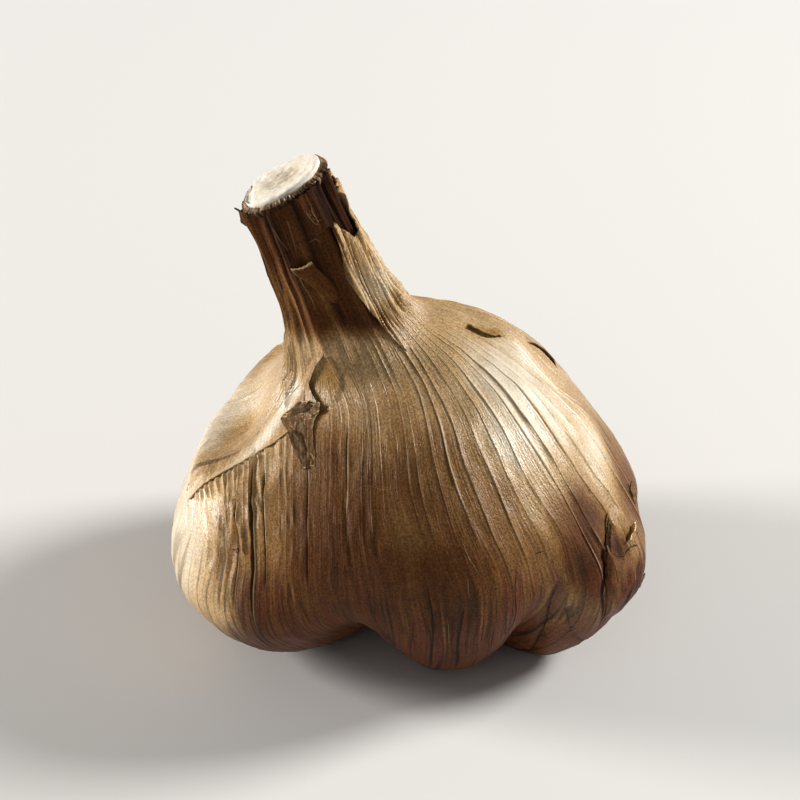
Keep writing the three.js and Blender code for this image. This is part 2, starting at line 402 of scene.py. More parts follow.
# Zones of the skin: strength, azimuth and station of the middle, reach in degrees and stations
SMOOTH = [(1, (-95, 8.6), (62, 2.8)), (1, (6, 5.8), (30, 2.6))]
CRUMPLED = [(0.8, (-48, 6.2), (12, 2.0)), (0.8, (-41, 7.4), (5, 1.7)), (0.7, (56, 5.2), (18, 1.6))]
# Single zones, without a strength
PANELS = ((-33, 7.0), (17, 2.4))
PLAIN_FRONT = ((4, 6.6), (16, 1.8))
RIGHT_VEINS = ((56, 6.7), (40, 2.6))
LEFT_PLEATS = ((-32, 6.8), (20, 3.0))
FRONT_PLEATS = ((-30, 6.2), (26, 2.6))
SIDE_TEAR = ((51, 6.0), (9, 1.4))
DULL_SHOULDER = ((-86, 8.2), (18, 1.2))
PARTED_FIBRES = ((10, 4.9), (34, 1.5))
# Hollows that cloves and drying leave in the skin, and one swell: height in mm, middle and reach
HOLLOWS = [
    (-1.6, (-84, 8.3), (38, 1.7)), (-0.9, (-16, 2.6), (14, 2.6)), (2.4, (47, 2.7), (14, 2.2)),
    (-1.1, (94, 7.35), (20, 0.8)),
]


# ---------------------------------------------------------------------------
# The skin's surface: columns of the mesh run along fibres, bunched where a vein
# rises, and rows are closest at the shoulder and the foot of the neck.
# ---------------------------------------------------------------------------

# degrees from vein to vein, as a mean
VEIN_PITCH = 5.4
VEIN_PROFILE = [
    # share of the way to the next vein, height: a thin crest, a long flank and a gutter before the next
    (0.0, 1.0), (0.05, 0.6), (0.14, 0.18), (0.32, 0.04), (0.56, 0.0),
    (0.80, -0.03), (0.92, -0.14), (0.97, -0.5), (1.0, 1.0),
]
# station where each band of rows begins and ends, and how many rows it has
ROWS = [(0, 2, 8), (2, 4.5, 22), (4.5, 8, 44), (8, 11, 50), (11, 13.92, 38)]
RIM_THICKNESS = 0.45
SHEATH_DEPTH = 6.0


# Fibres of the veins of the left front, where the gathered skin is pleated; the others stand at random
LEFT_VEINS = [
    -78, -75.5, -73, -71.5, -70, -69, -67.5, -66, -65, -63.5, -62.5, -61, -59.5, -58, -56.5, -54.5,
    -50, -45.5, -41, -34.5, -27, -21,
]


def vein_places(seed=3):
    """Fibre numbers of the veins, right round the bulb; they are sparser behind."""
    draw = np.random.default_rng(seed)

    def spread(start, end):
        places = [start]
        while places[-1] < end:
            wide = 1 + 0.6 * ease(abs(places[-1]), 108, 120)
            places.append(places[-1] + VEIN_PITCH * wide * draw.uniform(0.6, 1.4))
        places = np.array(places)
        return start + (places - start) * (end - start) / (places[-1] - start)

    return np.concatenate([spread(-180, LEFT_VEINS[0])[:-1], LEFT_VEINS, spread(LEFT_VEINS[-1], 180)[1:]])


def vein_relief(vein, share, azimuth, station, pleats):
    """Height in mm of the veins that run along the skin, and of the sags between them."""
    draw = np.random.default_rng(11)
    places = vein_places()
    count = len(places)
    strength = draw.uniform(0.3, 1.0, count)
    phase = draw.uniform(0, 40, count)
    fan = ease(station, 6.4, 7.6) * (1 - ease(station, 10.6, 12))
    right = blob(azimuth, station, *RIGHT_VEINS) ** 0.6
    straight = blob(azimuth, station, *LEFT_PLEATS) ** 0.5
    low = 1 - ease(station, 4.0, 6.8)
    present = np.clip(0.8 * fan + 0.9 * right + 0.4 * straight + 0.25 * low + 0.35, 0, 1.15)
    present *= 1 - 0.85 * strongest(azimuth, station, SMOOTH)
    present *= 1 - 0.55 * blob(azimuth, station, *FRONT_PLEATS)

    def rib(number):
        start = phase[number]
        wave = 0.75 + 0.5 * np.sin(station * 1.7 + start) * np.sin(station * 0.63 + 2 * start)
        return np.clip(strength[number] * wave, 0.06, 1.1) * present

    profile = np.interp(share, *zip(*VEIN_PROFILE))
    here = np.where(share < 0.5, rib(vein), rib(np.minimum(vein + 1, count - 2)))
    sag = 1 - (2 * share - 1) ** 2
    depth = (0.03 + 0.17 * right + 0.04 * straight) * blend(0.4, 1.0, strength[vein])
    depth *= 1 - 0.7 * blob(azimuth, station, *SIDE_TEAR)
    narrow = np.clip(2.4 / (places[vein + 1] - places[vein]), 0.25, 1)
    # Pleats hang from the crease, a ridge at every vein, and end at different heights
    stop = draw.uniform(0.12, 0.38, count) + 0.25 * ease(-places[:count], 68, 74)
    stop = np.where(share < 0.5, stop[vein], stop[np.minimum(vein + 1, count - 2)])
    hang = ease(pleats, stop, stop + 0.3)
    fold = (np.abs(2 * share - 1) ** 0.8 - 0.5) * narrow
    slit = np.zeros(len(station))
    for fibre, depths in SLITS:
        after = np.argmin(np.abs(places - fibre))
        deep = np.interp(station, *zip(*depths))
        wide = min(0.7, 1.1 / (places[after] - places[after - 1]))
        slit -= deep * ease(share, 1 - wide, 1 - 0.15 * wide) * (vein == after - 1)
        slit += 0.12 * deep * (1 - ease(share, 0, 0.3)) * (vein == after)
    fine = 0.12 * profile * here * (1 - 0.8 * hang * narrow) + slit
    return fine, 0.5 * hang * fold, -depth * sag


def under_crease(spots, out):
    """How strongly the skin is gathered under the left crease, and its height in mm just above the line."""
    distance, side, along = beside(CREASE, spots, out)
    above = np.where(side > 0, distance, -distance)
    held = tapered(along, 0.1) * (distance < 9)
    gathered = held * np.exp(-np.clip(-above, 0, 99) / 2.2) * ease(-above, -0.1, 0.15)
    swell = held * 0.12 * ease(above, -1.4, -0.1) * (1 - ease(above, 0.2, 1.2))
    return gathered, swell


def marks_relief(spots, out):
    """Height in mm of single grooves and ridges."""
    height = np.zeros(len(spots))
    for size, width, points in GROOVES:
        distance, _, along = beside(points, spots, out)
        height -= size * np.exp(-(distance / width) ** 2) * tapered(along)
    for size, width, points in RIDGES:
        distance, _, along = beside(points, spots, out)
        height += size * np.exp(-distance / width) * tapered(along)
    return height


def lines_near(spots, out):
    """For every spot: how many half widths it is to one side of the nearest line, how near that is, and
    whether the line is dark or pale. A material draws the line from these, as fine as it should be."""
    found = np.zeros((len(spots), 3))
    least = np.full(len(spots), LINE_REACH)
    cracks = []
    for fibre, half_width, low, high in SPLITS:
        stations = np.linspace(low, high, 9)
        cracks.append((half_width, 1.0, np.stack([fibre_azimuth(fibre, stations), stations], 1)))
    for half_width, strength, points in LINES + cracks:
        distance, side, along = beside(points, spots, out, LINE_REACH)
        here = distance < least
        least[here] = distance[here]
        thin = half_width * blend(0.3, 1.0, tapered(along, 0.3))
        near = (1 - ease(distance, 0.5 * LINE_REACH, LINE_REACH)) * tapered(along, 0.08)
        line = np.stack([side * distance / thin, near, np.full(len(spots), strength)], 1)
        found[here] = line[here]
    return found


def bulk_relief(fibre, azimuth, station, spots):
    """Hollows and swells of the skin, some placed and some at random, and the folds of the neck, in mm."""
    height = np.zeros(np.shape(azimuth))
    for size, centre, reach in HOLLOWS:
        height += size * blob(azimuth, station, centre, reach)
    height += 0.30 * drift(spots, 9.0, 1)
    height += 0.06 * drift(spots, 2.6, 2)
    neck = ease(station, 10.2, 11.6)
    weave = fibre_space(fibre, station, 2.4, 6.0)
    folds = drift(weave, 1.9, 21)
    height += neck * (0.55 * folds - 0.25 * np.abs(drift(weave, 0.9, 22)))
    turn = np.radians(azimuth)
    height += neck * 0.22 * np.sin(5 * turn + 1.3 + 0.15 * station) * np.cos(3 * turn - 0.4)
    return height


def wrinkle_relief(fibre, azimuth, station):
    """Crumpled patches, with sharp creases where the noise crosses nought."""
    zone = np.maximum(strongest(azimuth, station, CRUMPLED), 0.16 * (1 - ease(station, 8, 9.5)))
    weave = fibre_space(fibre, station, 1.0, 2.4)
    return zone * 0.75 * (0.35 - np.abs(drift(weave, 1.2, 4)))


def outline_depth(points, spots):
    """How far inside a closed outline of (azimuth, station) points each spot is, in mm; minus outside."""
    closed = np.array(points + points[:1], float)
    line = form(closed[:, 0], closed[:, 1])
    middle = line[:-1].mean(0)
    centre = closed[:-1].mean(0)
    normal = outward(centre[0], centre[1])
    up = line[0] - middle
    up -= normal * (up @ normal)
    up /= np.linalg.norm(up)
    plane = np.stack([np.cross(up, normal), up], 1)
    edge = (line - middle) @ plane
    result = np.full(len(spots), -99.0)
    near = np.linalg.norm(spots - middle, axis=1) < 12
    flat = (spots[near] - middle) @ plane
    best = np.full(len(flat), 99.0)
    within = np.zeros(len(flat), bool)
    for start, end in zip(edge[:-1], edge[1:]):
        step = end - start
        t = np.clip((flat - start) @ step / (step @ step), 0, 1)
        best = np.minimum(best, np.linalg.norm(flat - start - t[:, None] * step, axis=1))
        crosses = (start[1] > flat[:, 1]) != (end[1] > flat[:, 1])
        with np.errstate(divide="ignore", invalid="ignore"):
            at = start[0] + (flat[:, 1] - start[1]) / (end[1] - start[1]) * step[0]
        within ^= crosses & (flat[:, 0] < at)
    result[near] = np.where(within, best, -best)
    return result


def skin_relief(vein, share, fibre, azimuth, station, window=True):
    """The skin's height over its smooth form in mm, how crests and gutters shade it, how bare the inner
    skin is, and the places on the form with the outward direction there."""
    spots = form(azimuth, station)
    out = outward(azimuth, station)
    gathered, swell = under_crease(spots, out)
    fine, pleat, sag = vein_relief(vein, share, azimuth, station, gathered)
    marks = marks_relief(spots, out)
    raised = np.maximum(marks, 0) * ease(station, 12.5, 13)
    wrinkles = wrinkle_relief(fibre, azimuth, station)
    # Painted light and shade from the relief: painted shade in gutters, pleat valleys, grooves, slits and
    # crumple pits, and painted highlight on crests, the neck's raised ridges and crumple crests
    shade = fine / 0.10 + np.where(pleat > 0, 5.0, 3.0) * pleat
    shade = shade + np.minimum(marks, 0) / 0.6 + raised / 0.16
    shade = np.clip(shade + 1.6 * wrinkles, -1, 1)
    fine = fine + pleat + marks + wrinkles
    bulk = sag + swell + bulk_relief(fibre, azimuth, station, spots)
    inside = outline_depth(WINDOW, spots)
    bare = ease(inside, -0.5, -0.2) * window
    sunk = ease(inside, -0.8, -0.1) * window
    fine = blend(fine, 0.2 * fine, sunk)
    bulk = blend(bulk, bulk - 0.32, sunk)
    calm = ease(station, 0, 0.8)
    return (fine + bulk) * calm, shade * calm, bare, spots, out


def skin_near(azimuth, station):
    """The skin at any places, for bits of skin that lie over it."""
    fibre = fibre_at(azimuth, station)
    places = vein_places()
    wrapped = -180 + (fibre + 180) % 360
    vein = np.clip(np.searchsorted(places, wrapped, side="right") - 1, 0, len(places) - 2)
    share = (wrapped - places[vein]) / (places[vein + 1] - places[vein])
    height, shade, _, spots, out = skin_relief(vein, share, fibre, azimuth, station, window=False)
    return height, shade, spots, out, fibre


# ---------------------------------------------------------------------------
# Making meshes
# ---------------------------------------------------------------------------

def deselect_all():
    if bpy.context.object and bpy.context.object.mode != "OBJECT":
        bpy.ops.object.mode_set(mode="OBJECT")
    bpy.ops.object.select_all(action="DESELECT")


def choose(piece):
    deselect_all()
    piece.select_set(True)
    bpy.context.view_layer.objects.active = piece


def sheet_of_squares(name, columns, rows):
    """A flat grid to be shaped, and each vertex's column and row."""
    deselect_all()
    bpy.ops.mesh.primitive_grid_add(x_subdivisions=columns, y_subdivisions=rows, size=1)
    piece = bpy.context.object
    piece.name = name
    piece.data.name = name
    spots = np.empty(len(piece.data.vertices) * 3)
    piece.data.vertices.foreach_get("co", spots)
    spots = spots.reshape(-1, 3)
    column = np.rint((spots[:, 0] + 0.5) * columns).astype(int)
    row = np.rint((spots[:, 1] + 0.5) * rows).astype(int)
    return piece, column, row


def store(piece, name, values):
    """Keeps a number or a vector on every vertex, for the material to read."""
    values = np.asarray(values, np.float32)
    vectors = values.ndim > 1
    made = piece.data.attributes.new(name, "FLOAT_VECTOR" if vectors else "FLOAT", "POINT")
    made.data.foreach_set("vector" if vectors else "value", values.ravel())


def shaped_grid(name, places_mm, attributes, closed=False):
    """A grid moved to places_mm[row, column]; when closed, its last column meets its first."""
    rows, columns = places_mm.shape[:2]
    piece, column, row = sheet_of_squares(name, columns if closed else columns - 1, rows - 1)
    column = column % columns
    piece.data.vertices.foreach_set("co", (places_mm[row, column] * MM).astype(np.float32).ravel())
    piece.data.update()
    for key, values in attributes.items():
        store(piece, key, values[row, column])
    return piece


def weld_and_face_out(piece, distance=1e-6):
    choose(piece)
    bpy.ops.object.mode_set(mode="EDIT")
    bpy.ops.mesh.select_all(action="SELECT")
    bpy.ops.mesh.remove_doubles(threshold=distance)
    bpy.ops.mesh.dissolve_degenerate(threshold=distance)
    bpy.ops.mesh.normals_make_consistent(inside=False)
    bpy.ops.object.mode_set(mode="OBJECT")


def apply_modifier(piece, kind, **settings):
    choose(piece)
    made = piece.modifiers.new(kind.title(), kind)
    for name, value in settings.items():
        setattr(made, name, value)
    bpy.ops.object.modifier_apply(modifier=made.name)


def finish_piece(piece, material, slot, *nodes, crisp=None):
    """Smooth faces, a material, and its place in the frame."""
    piece.data.materials.clear()
    piece.data.materials.append(material)
    choose(piece)
    if crisp:
        bpy.ops.object.shade_smooth_by_angle(angle=math.radians(crisp))
    else:
        bpy.ops.object.shade_smooth()
    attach(piece, "root")
    if nodes:
        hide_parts(*nodes)


# ---------------------------------------------------------------------------
# Finishes
# ---------------------------------------------------------------------------

def linear(hex_colour):
    """An sRGB hex colour as the linear RGBA that nodes and lamps take."""
    channels = [int(hex_colour[i:i + 2], 16) / 255 for i in (1, 3, 5)]
    return tuple(c / 12.92 if c <= 0.04045 else ((c + 0.055) / 1.055) ** 2.4 for c in channels) + (1.0,)


def add_node(tree, kind, inputs=(), **settings):
    """Adds a shader node with its settings. Its inputs are in the order of its sockets, or named; a node
    or a socket given for one is linked to it, and any other value is set."""
    made = tree.nodes.new("ShaderNode" + kind)
    for name, value in settings.items():
        setattr(made, name, value)
    for key, value in inputs.items() if isinstance(inputs, dict) else enumerate(inputs):
        source = value.outputs[0] if isinstance(value, bpy.types.Node) else value
        if isinstance(source, bpy.types.NodeSocket):
            tree.links.new(source, made.inputs[key])
        else:
            made.inputs[key].default_value = value
    return made


def new_material(name):
    material = bpy.data.materials.new(name)
    material.use_nodes = True
    material.node_tree.nodes.clear()
    return material, material.node_tree


def give_stops(ramp, stops):
    """Sets a colour ramp to (place, hex colour) stops."""
    band = ramp.color_ramp
    while len(band.elements) < len(stops):
        band.elements.new(0.5)
    for element, (place, colour) in zip(band.elements, stops):
        element.position = place
        element.color = linear(colour)


def pattern(tree, space, scale, along=1.0, detail=2.0, roughness=0.5):
    """Noise of the given scale, drawn out along the third axis of its space."""
    at = add_node(tree, "Mapping", {"Vector": space, "Scale": (1, 1, along)})
    settings = {"Vector": at, "Scale": scale, "Detail": detail, "Roughness": roughness}
    return add_node(tree, "TexNoise", settings)


def varied(tree, base, value, amount):
    """base + amount x (value - 0.5)"""
    scaled = add_node(tree, "Math", (value, amount, -0.5 * amount), operation="MULTIPLY_ADD")
    return add_node(tree, "Math", (scaled, base), operation="ADD")


def painted(tree, colour, coats):
    """A colour with coats over it: how far each covers, its own colour, and how it is mixed in."""
    for share, coat, how in coats:
        made = add_node(tree, "Mix", {0: share, 6: colour, 7: coat}, data_type="RGBA", blend_type=how)
        colour = made.outputs[2]
    return colour


def embossed(tree, reliefs):
    """The surface's direction under reliefs, each a height, how many metres 1 is, and a strength."""
    normal = None
    for height, depth, strength in reliefs:
        inputs = {"Height": height, "Distance": depth, "Strength": strength}
        if normal:
            inputs["Normal"] = normal
        normal = add_node(tree, "Bump", inputs)
    return normal


def skin_material(name, stops, blush, worn_and_lit, amber="#9c7535"):
    """Dry garlic skin, a papery leaf base aged brown. It is satin where its waxy fibres lie flat, streaked
    along them and freckled with fine grain. Painted shade darkens its folds, gutters and cracks, and its
    vein crests are painted pale, partly as wear and partly as painted highlight."""
    material, tree = new_material(name)
    stored = {
        key: add_node(tree, "Attribute", attribute_name=key).outputs
        for key in ("fibre", "line", "finish", "relief", "tone", "bare")
    }
    fibre, line, finish = [stored[key]["Vector"] for key in ("fibre", "line", "finish")]
    relief, tone, bare = [stored[key]["Fac"] for key in ("relief", "tone", "bare")]
    plain, dull, parted = add_node(tree, "SeparateXYZ", [finish]).outputs
    place = add_node(tree, "TexCoord").outputs["Object"]
    height = add_node(tree, "SeparateXYZ", [place]).outputs["Z"]

    # Fibre space is in mm: threads about 0.3 mm apart and 6 mm long, bands of them some 2 mm wide, and,
    # where the fibres have parted, strands 0.5 mm apart and 15 mm long
    threads = pattern(tree, fibre, 3.3, 0.05, 3.0, 0.6)
    bands = pattern(tree, fibre, 0.6, 0.07, 2.0, 0.5)
    split = pattern(tree, fibre, 0.9, 0.06, 1.0, 0.5)
    crumple = pattern(tree, fibre, 1.5, 0.45, 3.0, 0.65)
    # Object space is in metres: cells of the grain about 0.25 mm, stains 9 mm
    grain = pattern(tree, place, 3800.0, 1.0, 1.0, 0.6)
    stain = pattern(tree, place, 110.0, 1.0, 3.0, 0.6)

    calm = add_node(tree, "MapRange", (plain, 0.0, 0.8, 0.0, 0.85))
    streaks = add_node(tree, "Mix", {"Factor": calm, "A": threads, "B": 0.5})
    strands = pattern(tree, fibre, 2.2, 0.03, 2.0, 0.7)
    strands = add_node(tree, "Mix", {"Factor": parted, "A": 0.5, "B": strands})
    shade = tone
    for value, amount in ((streaks, 0.32), (strands, 0.95), (bands, 0.16), (stain, 0.32)):
        shade = varied(tree, shade, value, amount)
    aged = add_node(tree, "ValToRGB", [shade])
    give_stops(aged, stops)

    # Low down an inner, redder layer shows, with an edge that runs up and down along the bands
    edge = varied(tree, height, pattern(tree, fibre, 0.9, 0.04, 1.0, 0.4), 0.026)
    edge = varied(tree, edge, stain, 0.022)
    edge = add_node(tree, "MapRange", (edge, 0.0146, 0.0118, 0.0, 0.7))
    brown = add_node(tree, "MapRange", (tone, 0.35, 0.6))
    inner = add_node(tree, "Math", (edge, brown), operation="MULTIPLY")
    # Where the skin has split along a fibre it shows as a hair line, darker and wider low down
    off = add_node(tree, "Math", (split, 0.5), operation="SUBTRACT")
    gap = add_node(tree, "Math", [off], operation="ABSOLUTE")
    gap = add_node(tree, "MapRange", (gap, 0.045, 0.015, 0.0, 0.8))
    low = add_node(tree, "MapRange", (height, 0.02, 0.008, 0.1, 1.0))
    hair = add_node(tree, "Math", (gap, low), operation="MULTIPLY")
    freckled = add_node(tree, "MapRange", (tone, 0.0, 0.35, 0.3, 1.0))
    freckles = add_node(tree, "MapRange", (grain, 0.3, 0.7, 0.58, 1.38))
    # Painted shade darkens folds, gutters and grooves (#2a170c). The crests are made pale, partly as wear
    # and partly as painted highlight
    folded = add_node(tree, "MapRange", (relief, -0.3, -1.0, 0.0, 0.8))
    rubbed_and_lit = add_node(tree, "MapRange", (relief, 0.35, 0.95, 0.0, 0.68))
    # Cracks and folds that the mesh is too coarse for, with an edge as rough as the crumples. A dark crack
    # is its own dark with painted shade in the gap, and a pale fold is drawn in the crests' pale colour,
    # partly wear and partly painted highlight.
    across, near, strength = add_node(tree, "SeparateXYZ", [line]).outputs
    across = add_node(tree, "Math", [varied(tree, across, crumple, 1.6)], operation="ABSOLUTE")
    across = add_node(tree, "MapRange", (across, 1.3, 0.6))
    drawn = add_node(tree, "Math", (across, near), operation="MULTIPLY")
    depth = add_node(tree, "Math", (drawn, strength), operation="MULTIPLY")
    cracked = add_node(tree, "MapRange", (depth, 0.0, 1.0, 0.0, 0.95))
    creased = add_node(tree, "MapRange", (depth, 0.0, -1.0, 0.0, 0.7))
    colour = painted(tree, aged, (
        (inner, linear(blush), "MIX"), (bare, linear(amber), "MIX"), (hair, linear("#1d0e06"), "MIX"),
        (freckled, freckles, "MULTIPLY"), (folded, linear("#2a170c"), "MIX"), (rubbed_and_lit, linear(worn_and_lit), "MIX"),
        (cracked, linear("#241006"), "MIX"), (creased, linear(worn_and_lit), "MIX"),
    ))
    normal = embossed(tree, (
        (depth, -0.0003, 0.8), (crumple, 0.00011, 0.7), (streaks, 0.00012, 0.7), (strands, -0.00012, 0.7),
        (grain, 0.00005, 1.0),
    ))

    # The wax that gives pale skin its sheen is gone where it has aged to dark brown
    waxy = add_node(tree, "MapRange", (tone, 0.7, 0.15, 0.05, 1.0))
    kept = add_node(tree, "MapRange", (dull, 0.0, 1.0, 1.0, 0.0))
    wax = add_node(tree, "Math", (waxy, kept), operation="MULTIPLY")
    rough = add_node(tree, "MapRange", (tone, 0.7, 1.0, 0.53, 0.8))
    rougher = add_node(tree, "MapRange", (dull, 0.0, 1.0, 0.0, 0.32))
    rough = add_node(tree, "Math", (rough, rougher), operation="ADD")
    rough = varied(tree, rough, threads, 0.3)
    shader = add_node(tree, "BsdfPrincipled", {
        "Base Color": colour, "Roughness": rough, "IOR": 1.45, "Metallic": 0.0, "Normal": normal,
        "Specular IOR Level": 0.18, "Coat Weight": wax, "Coat Roughness": 0.31, "Coat Normal": normal,
    })
    add_node(tree, "OutputMaterial", {"Surface": shader})
    return material


SKIN_STOPS = [(0.0, "#eddfc6"), (0.25, "#c9a878"), (0.5, "#916a3a"), (0.75, "#603814"), (1.0, "#260f03")]
PAPER_STOPS = [(0.0, "#dcb87a"), (0.35, "#a97f40"), (0.7, "#6c4b24"), (1.0, "#2e1e10")]
SHEATH_STOPS = [(0.0, "#d2b88e"), (0.35, "#96754c"), (0.7, "#593c22"), (1.0, "#1f120a")]


def stalk_material():
    """Cut garlic stalk, dried: matt pith, cream at its rim and greyish, streaky and spongy inside."""
    material, tree = new_material("dried_stalk_pith")
    place = add_node(tree, "TexCoord").outputs["Object"]
    middle = add_node(tree, "Attribute", attribute_name="middle").outputs["Fac"]
    # Pores are about 0.45 mm wide, and the saw's streaks 0.9 by 2.6 mm
    pores = pattern(tree, place, 2200.0, 1.0, 3.0, 0.7)
    saw = add_node(tree, "Mapping", {"Vector": place, "Scale": (0.35, 1, 1)})
    streaks = pattern(tree, saw, 1100.0, 1.0, 3.0, 0.6)
    dirt = add_node(tree, "Math", (middle, streaks), operation="MULTIPLY")
    pith = add_node(tree, "ValToRGB", [dirt])
    give_stops(pith, [(0.0, "#f7efe0"), (0.3, "#efe4d0"), (0.65, "#b3a48b")])
    pitted = add_node(tree, "MapRange", (pores, 0.3, 0.7, 0.82, 1.06))
    shader = add_node(tree, "BsdfPrincipled", {
        "Base Color": painted(tree, pith, [(1.0, pitted, "MULTIPLY")]), "Roughness": 0.85, "IOR": 1.45,
        "Normal": embossed(tree, [(pores, 0.00008, 0.7)]),
    })
    add_node(tree, "OutputMaterial", {"Surface": shader})
    return material


def root_material():
    """Trimmed root plate: cork, matt and grey-brown, darker where the roots were cut off."""
    material, tree = new_material("root_plate_cork")
    # Lumps of the cork are about 1.4 mm wide
    lumps = pattern(tree, add_node(tree, "TexCoord").outputs["Object"], 700.0, 1.0, 4.0, 0.65)
    cork = add_node(tree, "ValToRGB", [lumps])
    give_stops(cork, [(0.3, "#4f3b28"), (0.5, "#8a7150"), (0.7, "#b39c77")])
    shader = add_node(tree, "BsdfPrincipled", {
        "Base Color": cork, "Roughness": 0.9, "IOR": 1.45, "Normal": embossed(tree, [(lumps, 0.0002, 0.8)]),
    })
    add_node(tree, "OutputMaterial", {"Surface": shader})
    return material


# ---------------------------------------------------------------------------
# Sizes and colours that a user would change
# ---------------------------------------------------------------------------

class GarlicSettings(bpy.types.PropertyGroup):
    floor_colour: bpy.props.FloatVectorProperty(
        name="Floor", description="Colour of the floor and of the backdrop", subtype="COLOR", size=4,
        min=0, max=1, default=linear("#e4e4e3"))
    paper: bpy.props.FloatProperty(
        name="Paper", description="Thickness of loose skin", default=0.00014, min=0.00005, max=0.001,
        unit="LENGTH", precision=5)


# ---------------------------------------------------------------------------
# Pieces
# ---------------------------------------------------------------------------

TONE_LIGHT_AND_SHADE_SPOTS = [
    # how much darker, azimuth and station of the middle, reach in degrees and stations. Some spots are the
    # skin's own tone.
    # Others are painted shade where the bulb is shaded, as on its front, and painted highlight where it is
    # lit, as on the left flank and right shoulder.
    (0.40, (0, 6.4), (62, 4.0)), (0.10, (-26, 7.3), (22, 2.6)), (-0.16, (-36, 12.0), (24, 2.2)),
    (0.07, (-8, 7.6), (26, 2.0)), (-0.42, (-62, 4.7), (30, 2.6)), (-0.34, (-92, 6.4), (44, 4.6)),
    (0.26, (-84, 7.9), (15, 0.8)), (-0.16, (72, 7.8), (52, 3.4)), (-0.20, (-70, 12.5), (40, 2.5)),
    (0.26, (86, 5.8), (24, 1.8)), (-0.07, (-33, 6.8), (17, 2.4)), (0.36, (49.5, 5.9), (12, 1.4)),
    (0.28, (62, 4.7), (8, 0.8)), (-0.14, (46, 4.4), (11, 1.2)), (-0.09, (1, 5.9), (12, 1.6)),
    (0.15, (-34, 5.2), (8, 1.0)), (-0.14, (-47, 4.6), (7, 0.8)), (-0.42, (-54, 9.5), (9, 1.7)),
    (0.16, (57.5, 5.5), (5, 0.45)), (0.12, (-31, 9.0), (7, 0.6)), (-0.13, (6, 6.9), (11, 1.0)),
    (-0.24, (68, 8.3), (30, 1.1)), (-0.30, (75, 6.6), (14, 0.7)), (0.24, (56, 6.4), (8, 0.8)),
    (-0.28, (-57, 8.2), (12, 1.2)), (0.14, (-17, 8.7), (12, 1.1)), (0.10, (26, 8.0), (8, 0.7)),
    (-0.07, (41, 6.5), (6, 0.7)), (-0.15, (43, 7.6), (9, 0.8)), (-0.18, (-66, 9.5), (18, 0.9)),
    (-0.16, (92, 8.1), (12, 0.9)), (0.10, (57, 6.2), (9, 0.8)), (0.18, (56, 4.8), (6, 0.7)),
    (0.24, (73, 5.9), (13, 1.0)), (0.22, (59, 5.55), (6, 0.35)), (0.45, (62, 13.4), (30, 1.0)),
    (0.08, (-52, 6.2), (10, 1.7)), (-0.14, (48, 7.4), (16, 1.2)), (0.20, (46, 5.2), (8, 0.9)),
]


def tone_at(azimuth, station):
    """0 for pale skin to 1 for the darkest, apart from streaks and stains. It holds the skin's own tone
    together with
    painted light and shade: painted highlights on the lit left flank and right shoulder, painted shade on
    the shaded front, and a painted shadow of the outer neck skin at the foot of the neck.
    """
    tone = np.full(np.shape(azimuth), 0.36)
    # The neck is darker above a line that dips below the outer neck skin: the neck's own dark brown, with a
    # painted shadow of the outer skin along its edge
    foot = 11.2 - 0.4 * ease(azimuth, 0, 30) * (1 - ease(azimuth, 60, 110))
    tone += 0.48 * ease(station - foot, -0.15, 0.5)
    # Darker towards the bottom, partly the skin's own colour and partly painted shade
    tone += 0.30 * (1 - ease(station, 3.5, 7.4))
    for darker, centre, reach in TONE_LIGHT_AND_SHADE_SPOTS:
        tone += darker * blob(azimuth, station, centre, reach)
    return np.clip(tone, 0, 1)


def finish_at(azimuth, station):
    """How plain the skin is, without streaks, how dull, without wax, and how far its fibres have parted."""
    panels = blob(azimuth, station, *PANELS)
    plain = np.maximum(panels, 0.6 * blob(azimuth, station, *PLAIN_FRONT))
    behind = ease(np.abs((azimuth + 180) % 360 - 180), 112, 140)
    dull = 0.97 * behind * ease(station, 6.2, 7.8)
    dull = np.maximum(dull, 0.6 * blob(azimuth, station, *DULL_SHOULDER))
    dull = np.maximum(dull, 0.6 * np.maximum(panels, ease(station, 11.0, 11.8)))
    parted = blob(azimuth, station, *PARTED_FIBRES)
    return np.stack([plain, dull, parted], -1)


def cut_frame():
    """The middle of the cut, the way down the neck there, and the way from the middle to each azimuth."""
    around = np.arange(0, 360, 5.0)
    middle = form(around, 14.0).mean(0)
    down = (form(around, 13.2) - form(around, 14.0)).mean(0)
    return middle, down / np.linalg.norm(down)


def turned_rings(azimuths, rings):
    """Rings about the neck's cut: a point for each (radius, depth below the cut) and azimuth."""
    middle, down = cut_frame()
    way = form(azimuths, 14.0) - middle
    way /= np.linalg.norm(way, axis=1, keepdims=True)
    return np.array([
        middle + way * np.asarray(radius)[..., None] + down * np.asarray(depth)[..., None]
        for radius, depth in rings
    ])


def torn(count, size, seed, lumps):
    """A ragged line's offsets: jagged steps of about size, and finer ones over them."""
    draw = np.random.default_rng(seed)
    at = np.linspace(0, 1, count)
    coarse = np.interp(at * lumps, np.arange(lumps + 1), draw.uniform(0, 1, lumps + 1))
    small = np.interp(at * lumps * 4, np.arange(lumps * 4 + 1), draw.uniform(0, 1, lumps * 4 + 1))
    return size * (0.7 * coarse + 0.3 * small)


def into_the_sheath(surface):
    """Makes the rim, a skin's last row, ragged, and gives the rows that carry the skin over it and down
    inside the sheath, to a floor below the stalk."""
    rim = surface[-1]
    columns = len(rim)
    middle, down = cut_frame()
    inward = middle - rim
    inward -= (inward @ down)[:, None] * down
    inward /= np.linalg.norm(inward, axis=1, keepdims=True)
    teeth = torn(columns, 0.5, 5, 90)[:, None] - 0.15
    surface[-1] += down * teeth
    surface[-2] += down * teeth * 0.4
    # how far across the rim, in thicknesses, and how deep, in mm
    inner = [(0.5, -0.1), (1.0, 0.05), (1.05, 0.6), (1.1, 2.5), (1.15, SHEATH_DEPTH)]
    lining = [
        rim + inward * RIM_THICKNESS * across + down * (depth + teeth * (depth < 0.5))
        for across, depth in inner
    ]
    floor = np.repeat((rim.mean(0) + down * SHEATH_DEPTH)[None, :], columns, 0)
    return lining + [floor]


